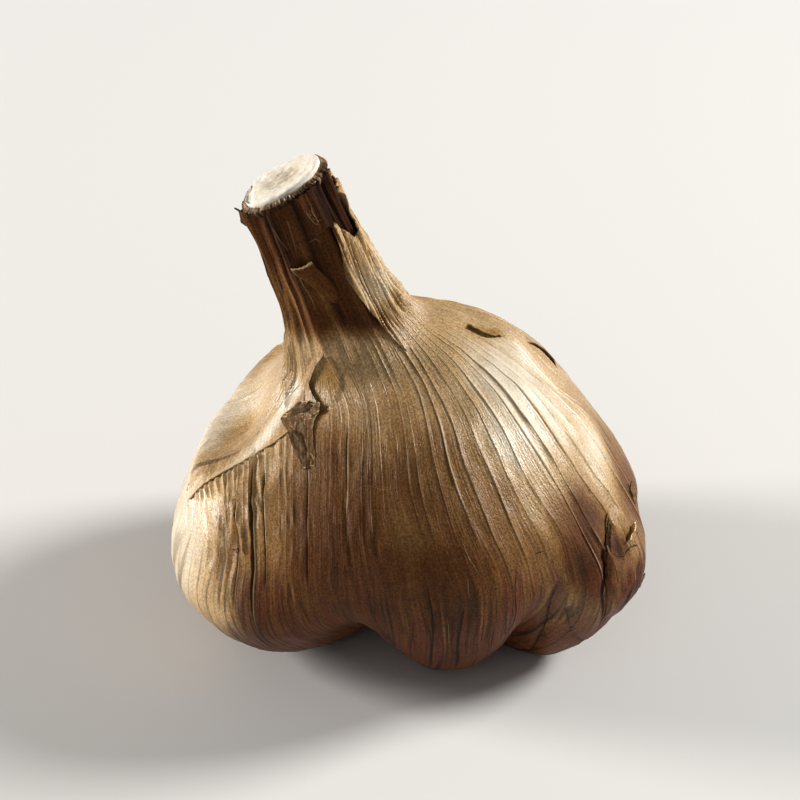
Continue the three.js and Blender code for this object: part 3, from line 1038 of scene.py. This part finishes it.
class GARLIC_OT_bulb_skin(bpy.types.Operator):
    """Models the skin drawn tight over the cloves, from the root plate to the cut rim of the neck"""

    bl_idname = "garlic.bulb_skin"
    bl_label = "Bulb skin"

    def execute(self, context):
        places = vein_places()
        gaps = len(places) - 1
        shares = np.array([share for share, _ in VEIN_PROFILE[:-1]])
        fibres = blend(places[:-1, None], places[1:, None], shares[None, :]).ravel()
        bands = [np.linspace(start, end, count, endpoint=False) for start, end, count in ROWS]
        stations = np.concatenate(bands + [[ROWS[-1][1]]])
        shape = (len(stations), len(fibres))
        fibre = np.tile(fibres, shape[0])
        vein = np.tile(np.repeat(np.arange(gaps), len(shares)), shape[0])
        share = np.tile(shares, gaps * shape[0])
        station = np.repeat(stations, shape[1])
        weave = fibre_space(fibre, station, 1.0, 1.0)
        wander = drift(weave, 4.5, 31) * ease(station, 2, 5) * (1 - 0.5 * ease(station, 9, 11))
        wander *= blend(0.2, 0.9, ease(fibre, -20, 20))
        azimuth = fibre_azimuth(fibre, station) + wander
        height, shade, bare, spots, out = skin_relief(vein, share, fibre, azimuth, station)
        stripes = drift(fibre_space(fibre, station, 2.4, 9.0), 1.2, 33) * ease(station, 10.8, 11.6)

        surface = (spots + out * height[:, None]).reshape(*shape, 3)
        lining = into_the_sheath(surface)
        foot = np.repeat(surface[0].mean(0)[None, :], shape[1], 0)
        surface = np.concatenate([foot[None], surface, np.array(lining)])

        def extended(values, inside):
            grid = values.reshape(*shape, *values.shape[1:])
            inner_row = np.broadcast_to(inside, grid[:1].shape)
            return np.concatenate([grid[:1], grid] + [inner_row] * len(lining))

        # The rows down inside the sheath get a nearly black tone: painted shade in the sheath
        piece = shaped_grid("bulb_skin", surface, {
            "relief": extended(shade, 0.0),
            "tone": extended(tone_at(azimuth, station) + 0.16 * stripes, 0.95),
            "bare": extended(bare, 0.0),
            "fibre": extended(weave, weave[-shape[1]:]),
            "line": extended(lines_near(spots, out), 0.0),
            "finish": extended(finish_at(azimuth, station), 0.0),
        }, closed=True)
        weld_and_face_out(piece)
        material = skin_material("aged_garlic_skin", SKIN_STOPS, "#5e2f1b", "#dcbd8c")
        finish_piece(piece, material, "bulb_skin", "wrapped_bulb")
        return {"FINISHED"}


class Patch:
    """A bit of skin over the bulb, between two lines of (azimuth, station) points that run upwards. u goes
    from 0 on the left line to 1 on the right one, and v from 0 at the bottom to 1 at the top."""

    def __init__(self, left, right, columns, rows, seed, teeth=(0, 0, 0, 0)):
        across = np.linspace(0, 1, columns)[None, :]
        along = np.linspace(0, 1, rows)[:, None]
        self.u = np.broadcast_to(across, (rows, columns))
        self.v = np.broadcast_to(along, (rows, columns))
        low, high, first, last = teeth
        bottom = torn(columns, low, seed, max(3, columns // 8))[None, :]
        top = torn(columns, high, seed + 1, max(3, columns // 8))[None, :]
        start = torn(rows, first, seed + 2, max(3, rows // 8))[:, None]
        end = torn(rows, last, seed + 3, max(3, rows // 8))[:, None]
        v = bottom + (1 - bottom - top) * along
        u = start + (1 - start - end) * across
        left_place = through(left, v * (len(left) - 1))
        right_place = through(right, v * (len(right) - 1))
        place = blend(left_place, right_place, u[..., None])
        self.azimuth = place[..., 0]
        self.station = place[..., 1]
        self.noise_seed = seed

    def skin_tone_and_shade(self):
        return tone_at(self.azimuth, self.station)

    def build(self, name, lift, tone, crumple=0.0, crumple_size=1.5, follow=1.0, lines=None, marks=0.0,
              bare=0.0, drawn=False):
        """The patch as a mesh, lift mm over the skin, with crumples as sharp as a torn leaf's. follow is
        how much of the skin's relief it takes on. lines is its size (across, along) in fibre space, where
        its fibres leave the skin's. marks is from -1 for painted shade, as in folds, to 1 for pale crests,
        painted highlight with some wear, and drawn says that the skin's cracks go on over it."""
        shape = self.azimuth.shape
        height, shade, spots, out, fibre = skin_near(self.azimuth.ravel(), self.station.ravel())
        rough = np.abs(drift(spots, crumple_size, self.noise_seed)) if crumple else 0.0
        raised = follow * height + np.ravel(lift) + crumple * (rough - 0.25)
        surface = (spots + out * raised[:, None]).reshape(*shape, 3)
        # Crumples get painted shade in their pits and painted highlight on their crests
        relief = follow * 0.5 * shade + crumple * (rough - 0.3) * 1.2 + np.ravel(marks)
        weave = fibre_space(fibre, self.station.ravel(), 1.0, 1.0).reshape(*shape, 3)
        if lines:
            weave = np.stack([self.u * lines[0], np.zeros(shape), self.v * lines[1]], -1)
        piece = shaped_grid(name, surface, {
            "relief": np.broadcast_to(relief, shade.shape).reshape(shape),
            "tone": np.broadcast_to(tone, shape), "bare": np.broadcast_to(bare, shape), "fibre": weave,
            "line": (lines_near(spots, out) * drawn).reshape(*shape, 3),
            "finish": finish_at(self.azimuth, self.station),
        })
        paper = bpy.context.scene.garlic.paper
        apply_modifier(piece, "SOLIDIFY", thickness=paper, offset=0.0, use_rim=True)
        weld_and_face_out(piece)
        return piece


LAYERS = [
    # name, free edge, edge sunk in the skin, height of the free edge, depth of the sunk one
    ("window_left_lip",
     [(-26, 9.5), (-30, 9.7), (-36, 9.9), (-40, 10.1), (-37.5, 10.3), (-31, 10.6), (-20, 10.9)],
     [(-38, 9.5), (-45, 9.7), (-51, 9.9), (-54, 10.2), (-50, 10.5), (-42, 10.8), (-26, 11.1)], 0.12, 0.1),
    ("window_right_lip",
     [(-22, 9.5), (-16, 9.9), (-13.5, 10.1), (-13.5, 10.4), (-16, 10.7), (-20, 10.9)],
     [(-12, 9.4), (-8, 9.8), (-5, 10.1), (-5, 10.3), (-7, 10.7), (-14, 10.9)], 0.14, 0.1),
    ("shoulder_edge_layer", [(107, 7.1), (109, 7.3), (109, 7.5), (106, 7.75)],
     [(116, 7.0), (120, 7.3), (120, 7.5), (115, 7.85)], 0.3, 0.1),
]
SHREDS = [
    # name, edge that lies on the skin, edge that stands off it, their heights, tone, raggedness
    ("rim_shred", [(-86, 13.5), (-90, 13.62), (-93, 13.75)], [(-104, 13.6), (-106, 13.75), (-100, 13.92)],
     0.1, 1.1, 0.95, (0, 0.2, 0, 0.3)),
    ("side_shred_upper", [(75, 5.5), (76, 5.58), (77, 5.7)], [(80, 5.45), (81.5, 5.55), (81, 5.66)],
     0.0, 0.5, 0.7, (0.1, 0.2, 0, 0.3)),
    ("side_shred_curl", [(60, 5.5), (62.5, 5.5), (66, 5.6)], [(61, 5.55), (63.5, 5.6), (67, 5.65)],
     0.1, 0.8, 0.1, (0.1, 0.1, 0, 0.2)),
    ("slit_roll", [(58, 5.9), (55, 5.7), (52.5, 5.4), (51.5, 5.1)],
     [(59, 5.9), (56, 5.7), (53.5, 5.4), (52, 5.1)], 0.0, 0.3, 0.85, (0, 0.1, 0, 0)),
    ("side_shred_lower", [(64, 4.3), (65, 4.36), (66, 4.45)], [(68, 4.25), (69.5, 4.35), (69, 4.45)],
     0.0, 0.4, 0.7, (0.1, 0.2, 0, 0.3)),
]


def crease_lap(skin):
    """The upper layer of the left shoulder, whose lower edge is the crease."""
    upper_edge = [(-100, 6.9), (-97, 7.6), (-92, 8.4), (-84, 9.2), (-72, 9.9), (-60, 10.4), (-48, 10.7)]
    patch = Patch(upper_edge, CREASE, 60, 110, 41, (0, 0, 0, 0.008))
    u, v = patch.u, patch.v
    ends = ease(v, 0, 0.15) * (1 - ease(v, 0.94, 1))
    creases = np.sin(u * 40 + 3 * np.sin(v * 4)) * np.sin(u * 17 + 1.0)
    rumples = 0.10 * creases * ease(u, 0.4, 0.9) * (1 - ease(v, 0.3, 0.9))
    lift = -0.3 + ends * (0.22 + 0.26 * ease(u, 0.2, 1.0) + rumples)
    crumpled = ease(u, 0.5, 0.72) * (1 - ease(u, 0.88, 0.95))
    crumpled = crumpled * ease(v, 0.04, 0.2) * (1 - ease(v, 0.35, 0.7))
    # A pale painted highlight along the hem. The crumpled part is darker, in streaks along its creases
    marks = 0.9 * ease(u, 0.965, 0.99) * ends - 0.9 * crumpled * np.clip(2 * creases, 0, 1)
    piece = patch.build("crease_lap", lift, patch.skin_tone_and_shade() + 0.14 * crumpled, marks=marks)
    finish_piece(piece, skin, "bulb_skin", crisp=50)


def free_layers(skin):
    """Layers that end in a free edge over the skin beside them."""
    for name, free_edge, root_edge, height, overlap in LAYERS:
        patch = Patch(free_edge, root_edge, 26, 72, 45, (0, 0, 0.03, 0))
        u, v = patch.u, patch.v
        raised = height * (1 - ease(u, 0, 0.7)) * ease(v, 0, 0.2) * (1 - ease(v, 0.85, 1))
        lift = raised - overlap * (1 - raised / height)
        # A painted shadow along the free edge
        marks = -0.8 * (1 - ease(u, 0.0, 0.1))
        piece = patch.build(name, lift, patch.skin_tone_and_shade(), follow=0.9, marks=marks)
        finish_piece(piece, skin, "bulb_skin", crisp=50)


def window_flake(scrap):
    """The crumpled scrap below the opening, a leaf folded into facets."""
    left = [(-27.5, 8.1), (-29.5, 8.3), (-35, 8.6), (-42, 8.9), (-51, 9.1), (-48, 9.4), (-42, 9.7)]
    right = [(-22.5, 8.2), (-22.5, 8.4), (-24.5, 8.7), (-27, 9.1), (-26.5, 9.3), (-25, 9.5), (-26, 9.7)]
    patch = Patch(left, right, 40, 72, 51, (0.05, 0.04, 0.06, 0.05))
    u, v = patch.u, patch.v
    cell, inside = facets(u * 3.0, v * 6.5, 20, 53)
    other, nested = facets(u * 3.0, v * 6.5, 46, 54)
    bulge = (cell - 0.5) * ease(inside, 0, 0.7) + 0.4 * (other - 0.5) * ease(nested, 0, 0.4)
    border = np.maximum(np.abs(2 * u - 1), np.abs(2 * v - 1))
    # The facets' ridges and the border get a painted highlight, and the creases along the nested cells
    # painted shade
    ridges = (1 - ease(inside, 0.02, 0.16)) * ease(other, 0.25, 0.6)
    marks = 0.9 * np.maximum(ridges, ease(border, 0.94, 0.98) * ease(other, 0.3, 0.5))
    marks -= (1 - ease(nested, 0.02, 0.12)) * ease(cell, 0.4, 0.6)
    tone = 0.76 + 0.30 * (cell - 0.5) + 0.30 * (other - 0.5)
    bare = 0.35 * ease(other, 0.4, 0.8)
    piece = patch.build("window_flake_skin", 0.28 + 0.55 * bulge, tone, follow=0.4, marks=marks, bare=bare)
    finish_piece(piece, scrap, "loose_skin", "window_flake", crisp=30)


def neck_tongue(skin):
    """The torn tongue on the front of the neck, free at its tip."""
    left = [(8, 12), (-4, 12.4), (-14, 12.7), (-21, 13)]
    right = [(12, 12), (17, 12.2), (14, 12.5), (3, 13)]
    patch = Patch(left, right, 18, 40, 61, (0, 0.12, 0.08, 0.05))
    u, v = patch.u, patch.v
    lift = 0.12 + 0.35 * ease(v, 0.6, 1) + 0.3 * (1 - (2 * u - 1) ** 2)
    edge = np.maximum(ease(v, 0.95, 1), 0.6 * ease(1 - u, 0.93, 1))
    piece = patch.build("neck_tongue_skin", lift, 0.76, crumple=0.15, crumple_size=1.0, follow=0.4,
                        lines=(5.0, 9.0), marks=1.1 * edge)
    finish_piece(piece, skin, "loose_skin", "neck_tongue", crisp=50)


def outer_neck_skin(skin):
    """The outer skin of the neck's right side, torn away in front and above."""
    front = [(45, 10.1), (40, 11.0), (34, 11.6), (29.5, 12.3), (33, 12.8), (38, 13.3)]
    back = [(168, 9.9), (168, 10.8), (168, 11.6), (168, 12.4), (168, 13.2), (168, 13.9)]
    patch = Patch(front, back, 170, 90, 71, (0, 0.035, 0.008, 0))
    u, v = patch.u, patch.v
    # A dip in the upper edge parts its two lobes
    dip = 0.55 * blob(patch.azimuth, np.zeros_like(u), (66, 0), (26, 1)) * ease(v, 0.2, 1)
    patch.station = patch.station - dip
    free = 0.4 * (1 - ease(u, 0, 0.1)) + 0.3 * ease(v, 0.1, 0.6) + 0.2 * ease(v, 0.8, 1)
    lift = free * (1 - ease(u, 0.85, 1)) - 0.3 * (1 - ease(v, 0, 0.2)) - 0.3 * ease(u, 0.9, 1)
    weave = fibre_space(patch.azimuth - 8 * v, patch.station, 1.7, 9.0)
    fold = 1 - 2.2 * np.abs(drift(weave, 1.1, 73)) - 0.5 * np.abs(drift(weave, 0.5, 74))
    held = ease(v, 0.02, 0.25) * (1 - ease(u, 0.8, 0.95))
    own = 0.02 + 0.3 * ease(v, 0.35, 0.9) + 0.15 * (1 - ease(u, 0.01, 0.05))
    # Along the folds the crests are painted paler and the valleys darker: painted light and shade on the
    # folds
    tone = blend(patch.skin_tone_and_shade(), own, ease(v, 0.1, 0.45)) - 0.1 * fold * held
    marks = np.clip(1.7 * fold - 0.15, -0.9, 0.8) * held
    bare = held * (0.45 - 0.2 * ease(u, 0.06, 0.2)) * (1 - ease(v, 0.5, 0.9))
    piece = patch.build("outer_neck_skin_sheet", lift + 0.26 * fold * held, tone, marks=marks, bare=bare)
    finish_piece(piece, skin, "loose_skin", "outer_neck_skin", crisp=60)


def shoulder_flake(scrap):
    """The small tear on the right shoulder, lifted along its front edge."""
    free_edge = [(98, 8.3), (91, 8.6), (89.5, 8.8), (91, 9.1)]
    root_edge = [(104, 8.4), (101, 8.6), (99, 8.9), (98, 9.1)]
    patch = Patch(free_edge, root_edge, 20, 30, 81, (0, 0, 0.04, 0))
    lift = 0.55 * (1 - ease(patch.u, 0, 0.9)) * ease(patch.v, 0, 0.25) - 0.08 * patch.u
    piece = patch.build("shoulder_flake_skin", lift, 0.35, crumple=0.1)
    finish_piece(piece, scrap, "loose_skin", "shoulder_flake", crisp=50)


def side_flake(skin):
    """The upright tear low on the right side, which stands free along the side slit."""
    free_edge = [(52.5, 4), (51, 4.7), (51.5, 5.3), (55, 5.7), (60.5, 6.1)]
    root_edge = [(62, 4.0), (64, 4.6), (66, 5.2), (68, 5.7), (70, 6.1)]
    patch = Patch(free_edge, root_edge, 34, 60, 91, (0, 0.03, 0.02, 0))
    u, v = patch.u, patch.v
    lift = 0.2 * (1 - ease(u, 0, 0.5)) * ease(v, 0, 0.3) - 0.14 * ease(u, 0.6, 1)
    lift = lift - 0.15 * (1 - ease(v, 0, 0.15)) - 0.15 * ease(v, 0.85, 1)
    piece = patch.build("side_flake_skin", lift, patch.skin_tone_and_shade(), drawn=True)
    finish_piece(piece, skin, "loose_skin", "side_flake", crisp=50)


def shreds(scrap):
    """Small torn shreds and curls that stand off the skin."""
    for name, near_edge, far_edge, start, end, tone, teeth in SHREDS:
        patch = Patch(near_edge, far_edge, 16, 26, 95, teeth)
        lift = blend(start, end, patch.u ** 1.5)
        piece = patch.build(name, lift, tone, crumple=0.2, crumple_size=0.9, follow=0.4)
        finish_piece(piece, scrap, "loose_skin", crisp=40)


class GARLIC_OT_loose_skin(bpy.types.Operator):
    """Models the torn bits of outer skin that stand off the bulb and its neck"""

    bl_idname = "garlic.loose_skin"
    bl_label = "Loose skin"

    def execute(self, context):
        scrap = skin_material("torn_garlic_skin", PAPER_STOPS, "#5d3d2a", "#ecd5a8")
        skin = bpy.data.materials["aged_garlic_skin"]
        crease_lap(skin)
        free_layers(skin)
        window_flake(scrap)
        neck_tongue(skin)
        outer_neck_skin(skin)
        shoulder_flake(scrap)
        side_flake(skin)
        shreds(scrap)
        return {"FINISHED"}


STALK_RADIUS = 5.15
STALK_COLUMNS = 96
# Rings at less than this depth under the cut, in mm, make up the sawn face
FACE_DEPTH = -0.4
FRINGE_COLUMNS = 540


def cut_stalk():
    """The stalk with its sawn face: dished, rough, and with a lower ledge on its left."""
    around = np.arange(STALK_COLUMNS) * (360 / STALK_COLUMNS)
    middle, down = cut_frame()
    # share of the radius, depth in mm below the cut
    rings = [(0.0, 5.5), (0.9, 5.5), (0.95, 3.0), (0.97, 0.6), (0.98, 0.1), (0.985, -0.3), (0.96, -0.45)]
    rings += [(share, -0.5) for share in np.linspace(0.92, 0.0, 26)]
    level = np.ones(STALK_COLUMNS)
    grid = turned_rings(around, [(STALK_RADIUS * share * level, depth * level) for share, depth in rings])
    flat = grid.reshape(-1, 3)
    share = np.repeat([share for share, _ in rings], STALK_COLUMNS)
    top = np.repeat([float(depth < FACE_DEPTH) for _, depth in rings], STALK_COLUMNS)
    dry = 0.16 * drift(flat, 1.6, 7) + 0.08 * drift(flat, 0.6, 8)
    hollow = -0.25 * (1 - ease(share, 0.1, 0.8))
    ledge = -0.55 * ease(-(flat - middle)[:, 0], 3.6, 3.8)
    flat = flat - down[None, :] * ((dry + hollow + ledge) * top)[:, None]
    centre = (1 - ease(share, 0.25, 0.85)) * top
    middles = {"middle": centre.reshape(grid.shape[:2])}
    piece = shaped_grid("cut_stalk", flat.reshape(grid.shape), middles, closed=True)
    weld_and_face_out(piece)
    finish_piece(piece, stalk_material(), "stalk_flesh", "flower_stalk")


def sheath_fringe():
    """A frayed ring of sheath fibres that the cut left round the stalk."""
    around = np.arange(FRINGE_COLUMNS) / (FRINGE_COLUMNS / 360)
    sides = 1 - np.cos(np.radians(around))
    upper = torn(FRINGE_COLUMNS, 0.4, 15, 150)
    lower = 0.15 * sides + 0.9 * torn(FRINGE_COLUMNS, 1.0, 16, 200) ** 2 * torn(FRINGE_COLUMNS, 1.2, 14, 20)
    upper = upper - 0.35 * ease(sides, 1.0, 1.9)
    # radius, depth below the cut, how dark a fibre is there
    profile = [
        (5.05, 0.9 + 0 * upper, 0.5), (5.08, 0.25 + upper, 0.4), (5.16, -0.05 + upper, 0.2),
        (5.28, -0.02 + upper, 0.35), (5.45, 0.12 + upper, 0.6), (5.62, 0.3 + 0.7 * upper, 0.7),
        (5.70, 0.35 + 0.5 * lower, 0.75), (5.74, 0.4 + lower, 0.85), (5.5, 0.8 + lower, 0.95),
        (5.2, 1.2 + lower, 1.0),
    ]
    swell = torn(FRINGE_COLUMNS, 0.10, 17, 180)
    rings = [(radius + swell * (0.1 * i), depth) for i, (radius, depth, _) in enumerate(profile)]
    grid = turned_rings(around, rings)
    shape = grid.shape[:2]
    weave = fibre_space(np.broadcast_to(around, shape), np.arange(shape[0])[:, None] * 0.05, 3.0, 1.0)
    stripes = torn(FRINGE_COLUMNS, 1.0, 18, 300)[None, :]
    tone = np.array([tone for _, _, tone in profile])[:, None] + 0.9 * (stripes - 0.5)
    relief = torn(FRINGE_COLUMNS, 2.4, 19, 230)[None, :] - 1.4
    piece = shaped_grid("sheath_fringe", grid, {
        "relief": np.broadcast_to(relief, shape), "tone": np.clip(tone, 0, 1),
        "bare": np.zeros(shape), "fibre": weave,
    }, closed=True)
    weld_and_face_out(piece)
    material = skin_material("frayed_stalk_sheath", SHEATH_STOPS, "#54372c", "#e3d3b4")
    finish_piece(piece, material, "loose_skin")


class GARLIC_OT_flower_stalk(bpy.types.Operator):
    """Models the cut flower stalk in the neck, and the frayed sheath round it"""

    bl_idname = "garlic.flower_stalk"
    bl_label = "Flower stalk"

    def execute(self, context):
        cut_stalk()
        sheath_fringe()
        return {"FINISHED"}


ROOT_COLUMNS = 96


class GARLIC_OT_root_plate(bpy.types.Operator):
    """Models the corky root plate, lumpy where its roots were trimmed off"""

    bl_idname = "garlic.root_plate"
    bl_label = "Root plate"

    def execute(self, context):
        low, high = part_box("root_plate")
        radius = (high.x - low.x) / 2 / MM
        thick = (high.z - low.z) / MM
        # share of the radius, height in mm
        rings = [(0, thick), (0.75, thick), (0.93, 0.75 * thick), (1.0, 0.3), (0.97, 0.05), (0.9, 0.0)]
        rings += [(share, 0.0) for share in np.linspace(0.84, 0.0, 18)]
        turn = np.radians(np.arange(ROOT_COLUMNS) * 360 / ROOT_COLUMNS)
        grid = np.array([
            np.stack([radius * share * np.sin(turn), -radius * share * np.cos(turn), height + 0 * turn], 1)
            for share, height in rings
        ])
        flat = grid.reshape(-1, 3)
        out = np.hypot(flat[:, 0], flat[:, 1]) / radius
        lumps = np.abs(drift(flat, 1.3, 12)) * ease(out, 0.0, 0.35) * (1 - ease(out, 0.9, 1.0))
        flat[:, 2] += (flat[:, 2] < 0.02) * 0.5 * lumps
        flat[:, :2] *= (1 + 0.05 * drift(flat, 2.0, 13) * ease(out, 0.8, 1))[:, None]
        piece = shaped_grid("root_plate_cork", flat.reshape(grid.shape), {}, closed=True)
        weld_and_face_out(piece)
        finish_piece(piece, root_material(), "root_cork", "root_plate")
        return {"FINISHED"}


FLOOR_WIDTH = 6
# How far from the bulb the camera begins to see plain backdrop, and where it sees nothing else
BACKDROP = (0.10, 0.45)
SKY_LIGHT = 0.17
LAMPS = [
    # name, place in metres, size, watts, colour
    ("back_right_lamp", (0.82, 0.28, 0.50), 0.34, 12.5, "#fefbf6"),
    ("back_left_lamp", (-0.92, 0.16, 0.26), 0.30, 11.2, "#fffaf4"),
    ("front_fill_lamp", (-0.35, -0.9, 0.75), 0.7, 0.6, "#ffffff"),
]
# The camera looks down at the front from half a metre away
CAMERA_PLACE = (-0.001, -0.4529, 0.3112)
CAMERA_TILT = 58
CAMERA_LENS = 196.4


def pale_floor(settings):
    """A matt floor that fades, beyond the bulb's shadow, to a plain backdrop for the camera."""
    bpy.ops.mesh.primitive_plane_add(size=FLOOR_WIDTH)
    floor = bpy.context.object
    floor.name = "floor"
    material, tree = new_material("pale_floor")
    matt = {"Base Color": settings.floor_colour, "Roughness": 0.9, "IOR": 1.3}
    matt = add_node(tree, "BsdfPrincipled", matt)
    place = add_node(tree, "TexCoord").outputs["Object"]
    away = add_node(tree, "VectorMath", [place], operation="LENGTH").outputs["Value"]
    plain = add_node(tree, "MapRange", (away, *BACKDROP), interpolation_type="SMOOTHSTEP")
    seen = add_node(tree, "LightPath").outputs["Is Camera Ray"]
    share = add_node(tree, "Math", (plain, seen), operation="MULTIPLY")
    backdrop = add_node(tree, "Emission", {"Color": settings.floor_colour, "Strength": 1.0})
    add_node(tree, "OutputMaterial", {"Surface": add_node(tree, "MixShader", (share, matt, backdrop))})
    floor.data.materials.append(material)


def pale_sky(settings):
    """A world that the camera sees as the floor's colour, and that lights the bulb faintly."""
    world = bpy.data.worlds.new("studio")
    world.use_nodes = True
    bpy.context.scene.world = world
    tree = world.node_tree
    tree.nodes.clear()
    seen = add_node(tree, "LightPath").outputs["Is Camera Ray"]
    backdrop = add_node(tree, "Background", {"Color": settings.floor_colour, "Strength": 1.0})
    light = add_node(tree, "Background", {"Color": linear("#f6f5f2"), "Strength": SKY_LIGHT})
    add_node(tree, "OutputWorld", {"Surface": add_node(tree, "MixShader", (seen, light, backdrop))})


class GARLIC_OT_stage(bpy.types.Operator):
    """Sets the pale floor, the soft lamps and the camera"""

    bl_idname = "garlic.stage"
    bl_label = "Stage"

    def execute(self, context):
        deselect_all()
        pale_floor(context.scene.garlic)
        pale_sky(context.scene.garlic)

        low, high = CAD_BOX
        centre = Vector([(a + b) / 2 for a, b in zip(low, high)])
        for name, place, size, power, colour in LAMPS:
            bpy.ops.object.light_add(type="AREA", location=place)
            lamp = context.object
            lamp.name = name
            lamp.data.shape = "DISK"
            lamp.data.size = size
            lamp.data.energy = power
            lamp.data.color = linear(colour)[:3]
            lamp.rotation_euler = (centre - lamp.location).to_track_quat("-Z", "Y").to_euler()

        bpy.ops.object.camera_add(location=CAMERA_PLACE, rotation=(math.radians(CAMERA_TILT), 0, 0))
        camera = context.object
        camera.data.lens = CAMERA_LENS
        camera.data.clip_start = 0.01
        context.scene.camera = camera
        context.scene.view_settings.view_transform = "Standard"
        return {"FINISHED"}


class GARLIC_PT_panel(bpy.types.Panel):
    """Lists the pieces of the bulb in the order they are made"""

    bl_idname = "GARLIC_PT_panel"
    bl_label = "Black garlic bulb"
    bl_space_type = "VIEW_3D"
    bl_region_type = "UI"
    bl_category = "Garlic"

    def draw(self, context):
        column = self.layout.column()
        for operator in OPERATORS:
            column.operator(operator.bl_idname)
        settings = context.scene.garlic
        for name in ("floor_colour", "paper"):
            column.prop(settings, name)


OPERATORS = (
    GARLIC_OT_stage,
    GARLIC_OT_bulb_skin,
    GARLIC_OT_loose_skin,
    GARLIC_OT_flower_stalk,
    GARLIC_OT_root_plate,
)
CLASSES = (GarlicSettings,) + OPERATORS + (GARLIC_PT_panel,)


def register():
    for each in CLASSES:
        bpy.utils.register_class(each)
    bpy.types.Scene.garlic = bpy.props.PointerProperty(type=GarlicSettings)


def unregister():
    del bpy.types.Scene.garlic
    for each in reversed(CLASSES):
        bpy.utils.unregister_class(each)


def main():
    register()
    bpy.ops.garlic.stage()
    bpy.ops.garlic.bulb_skin()
    bpy.ops.garlic.loose_skin()
    bpy.ops.garlic.flower_stalk()
    bpy.ops.garlic.root_plate()


if __name__ == "__main__":
    main()
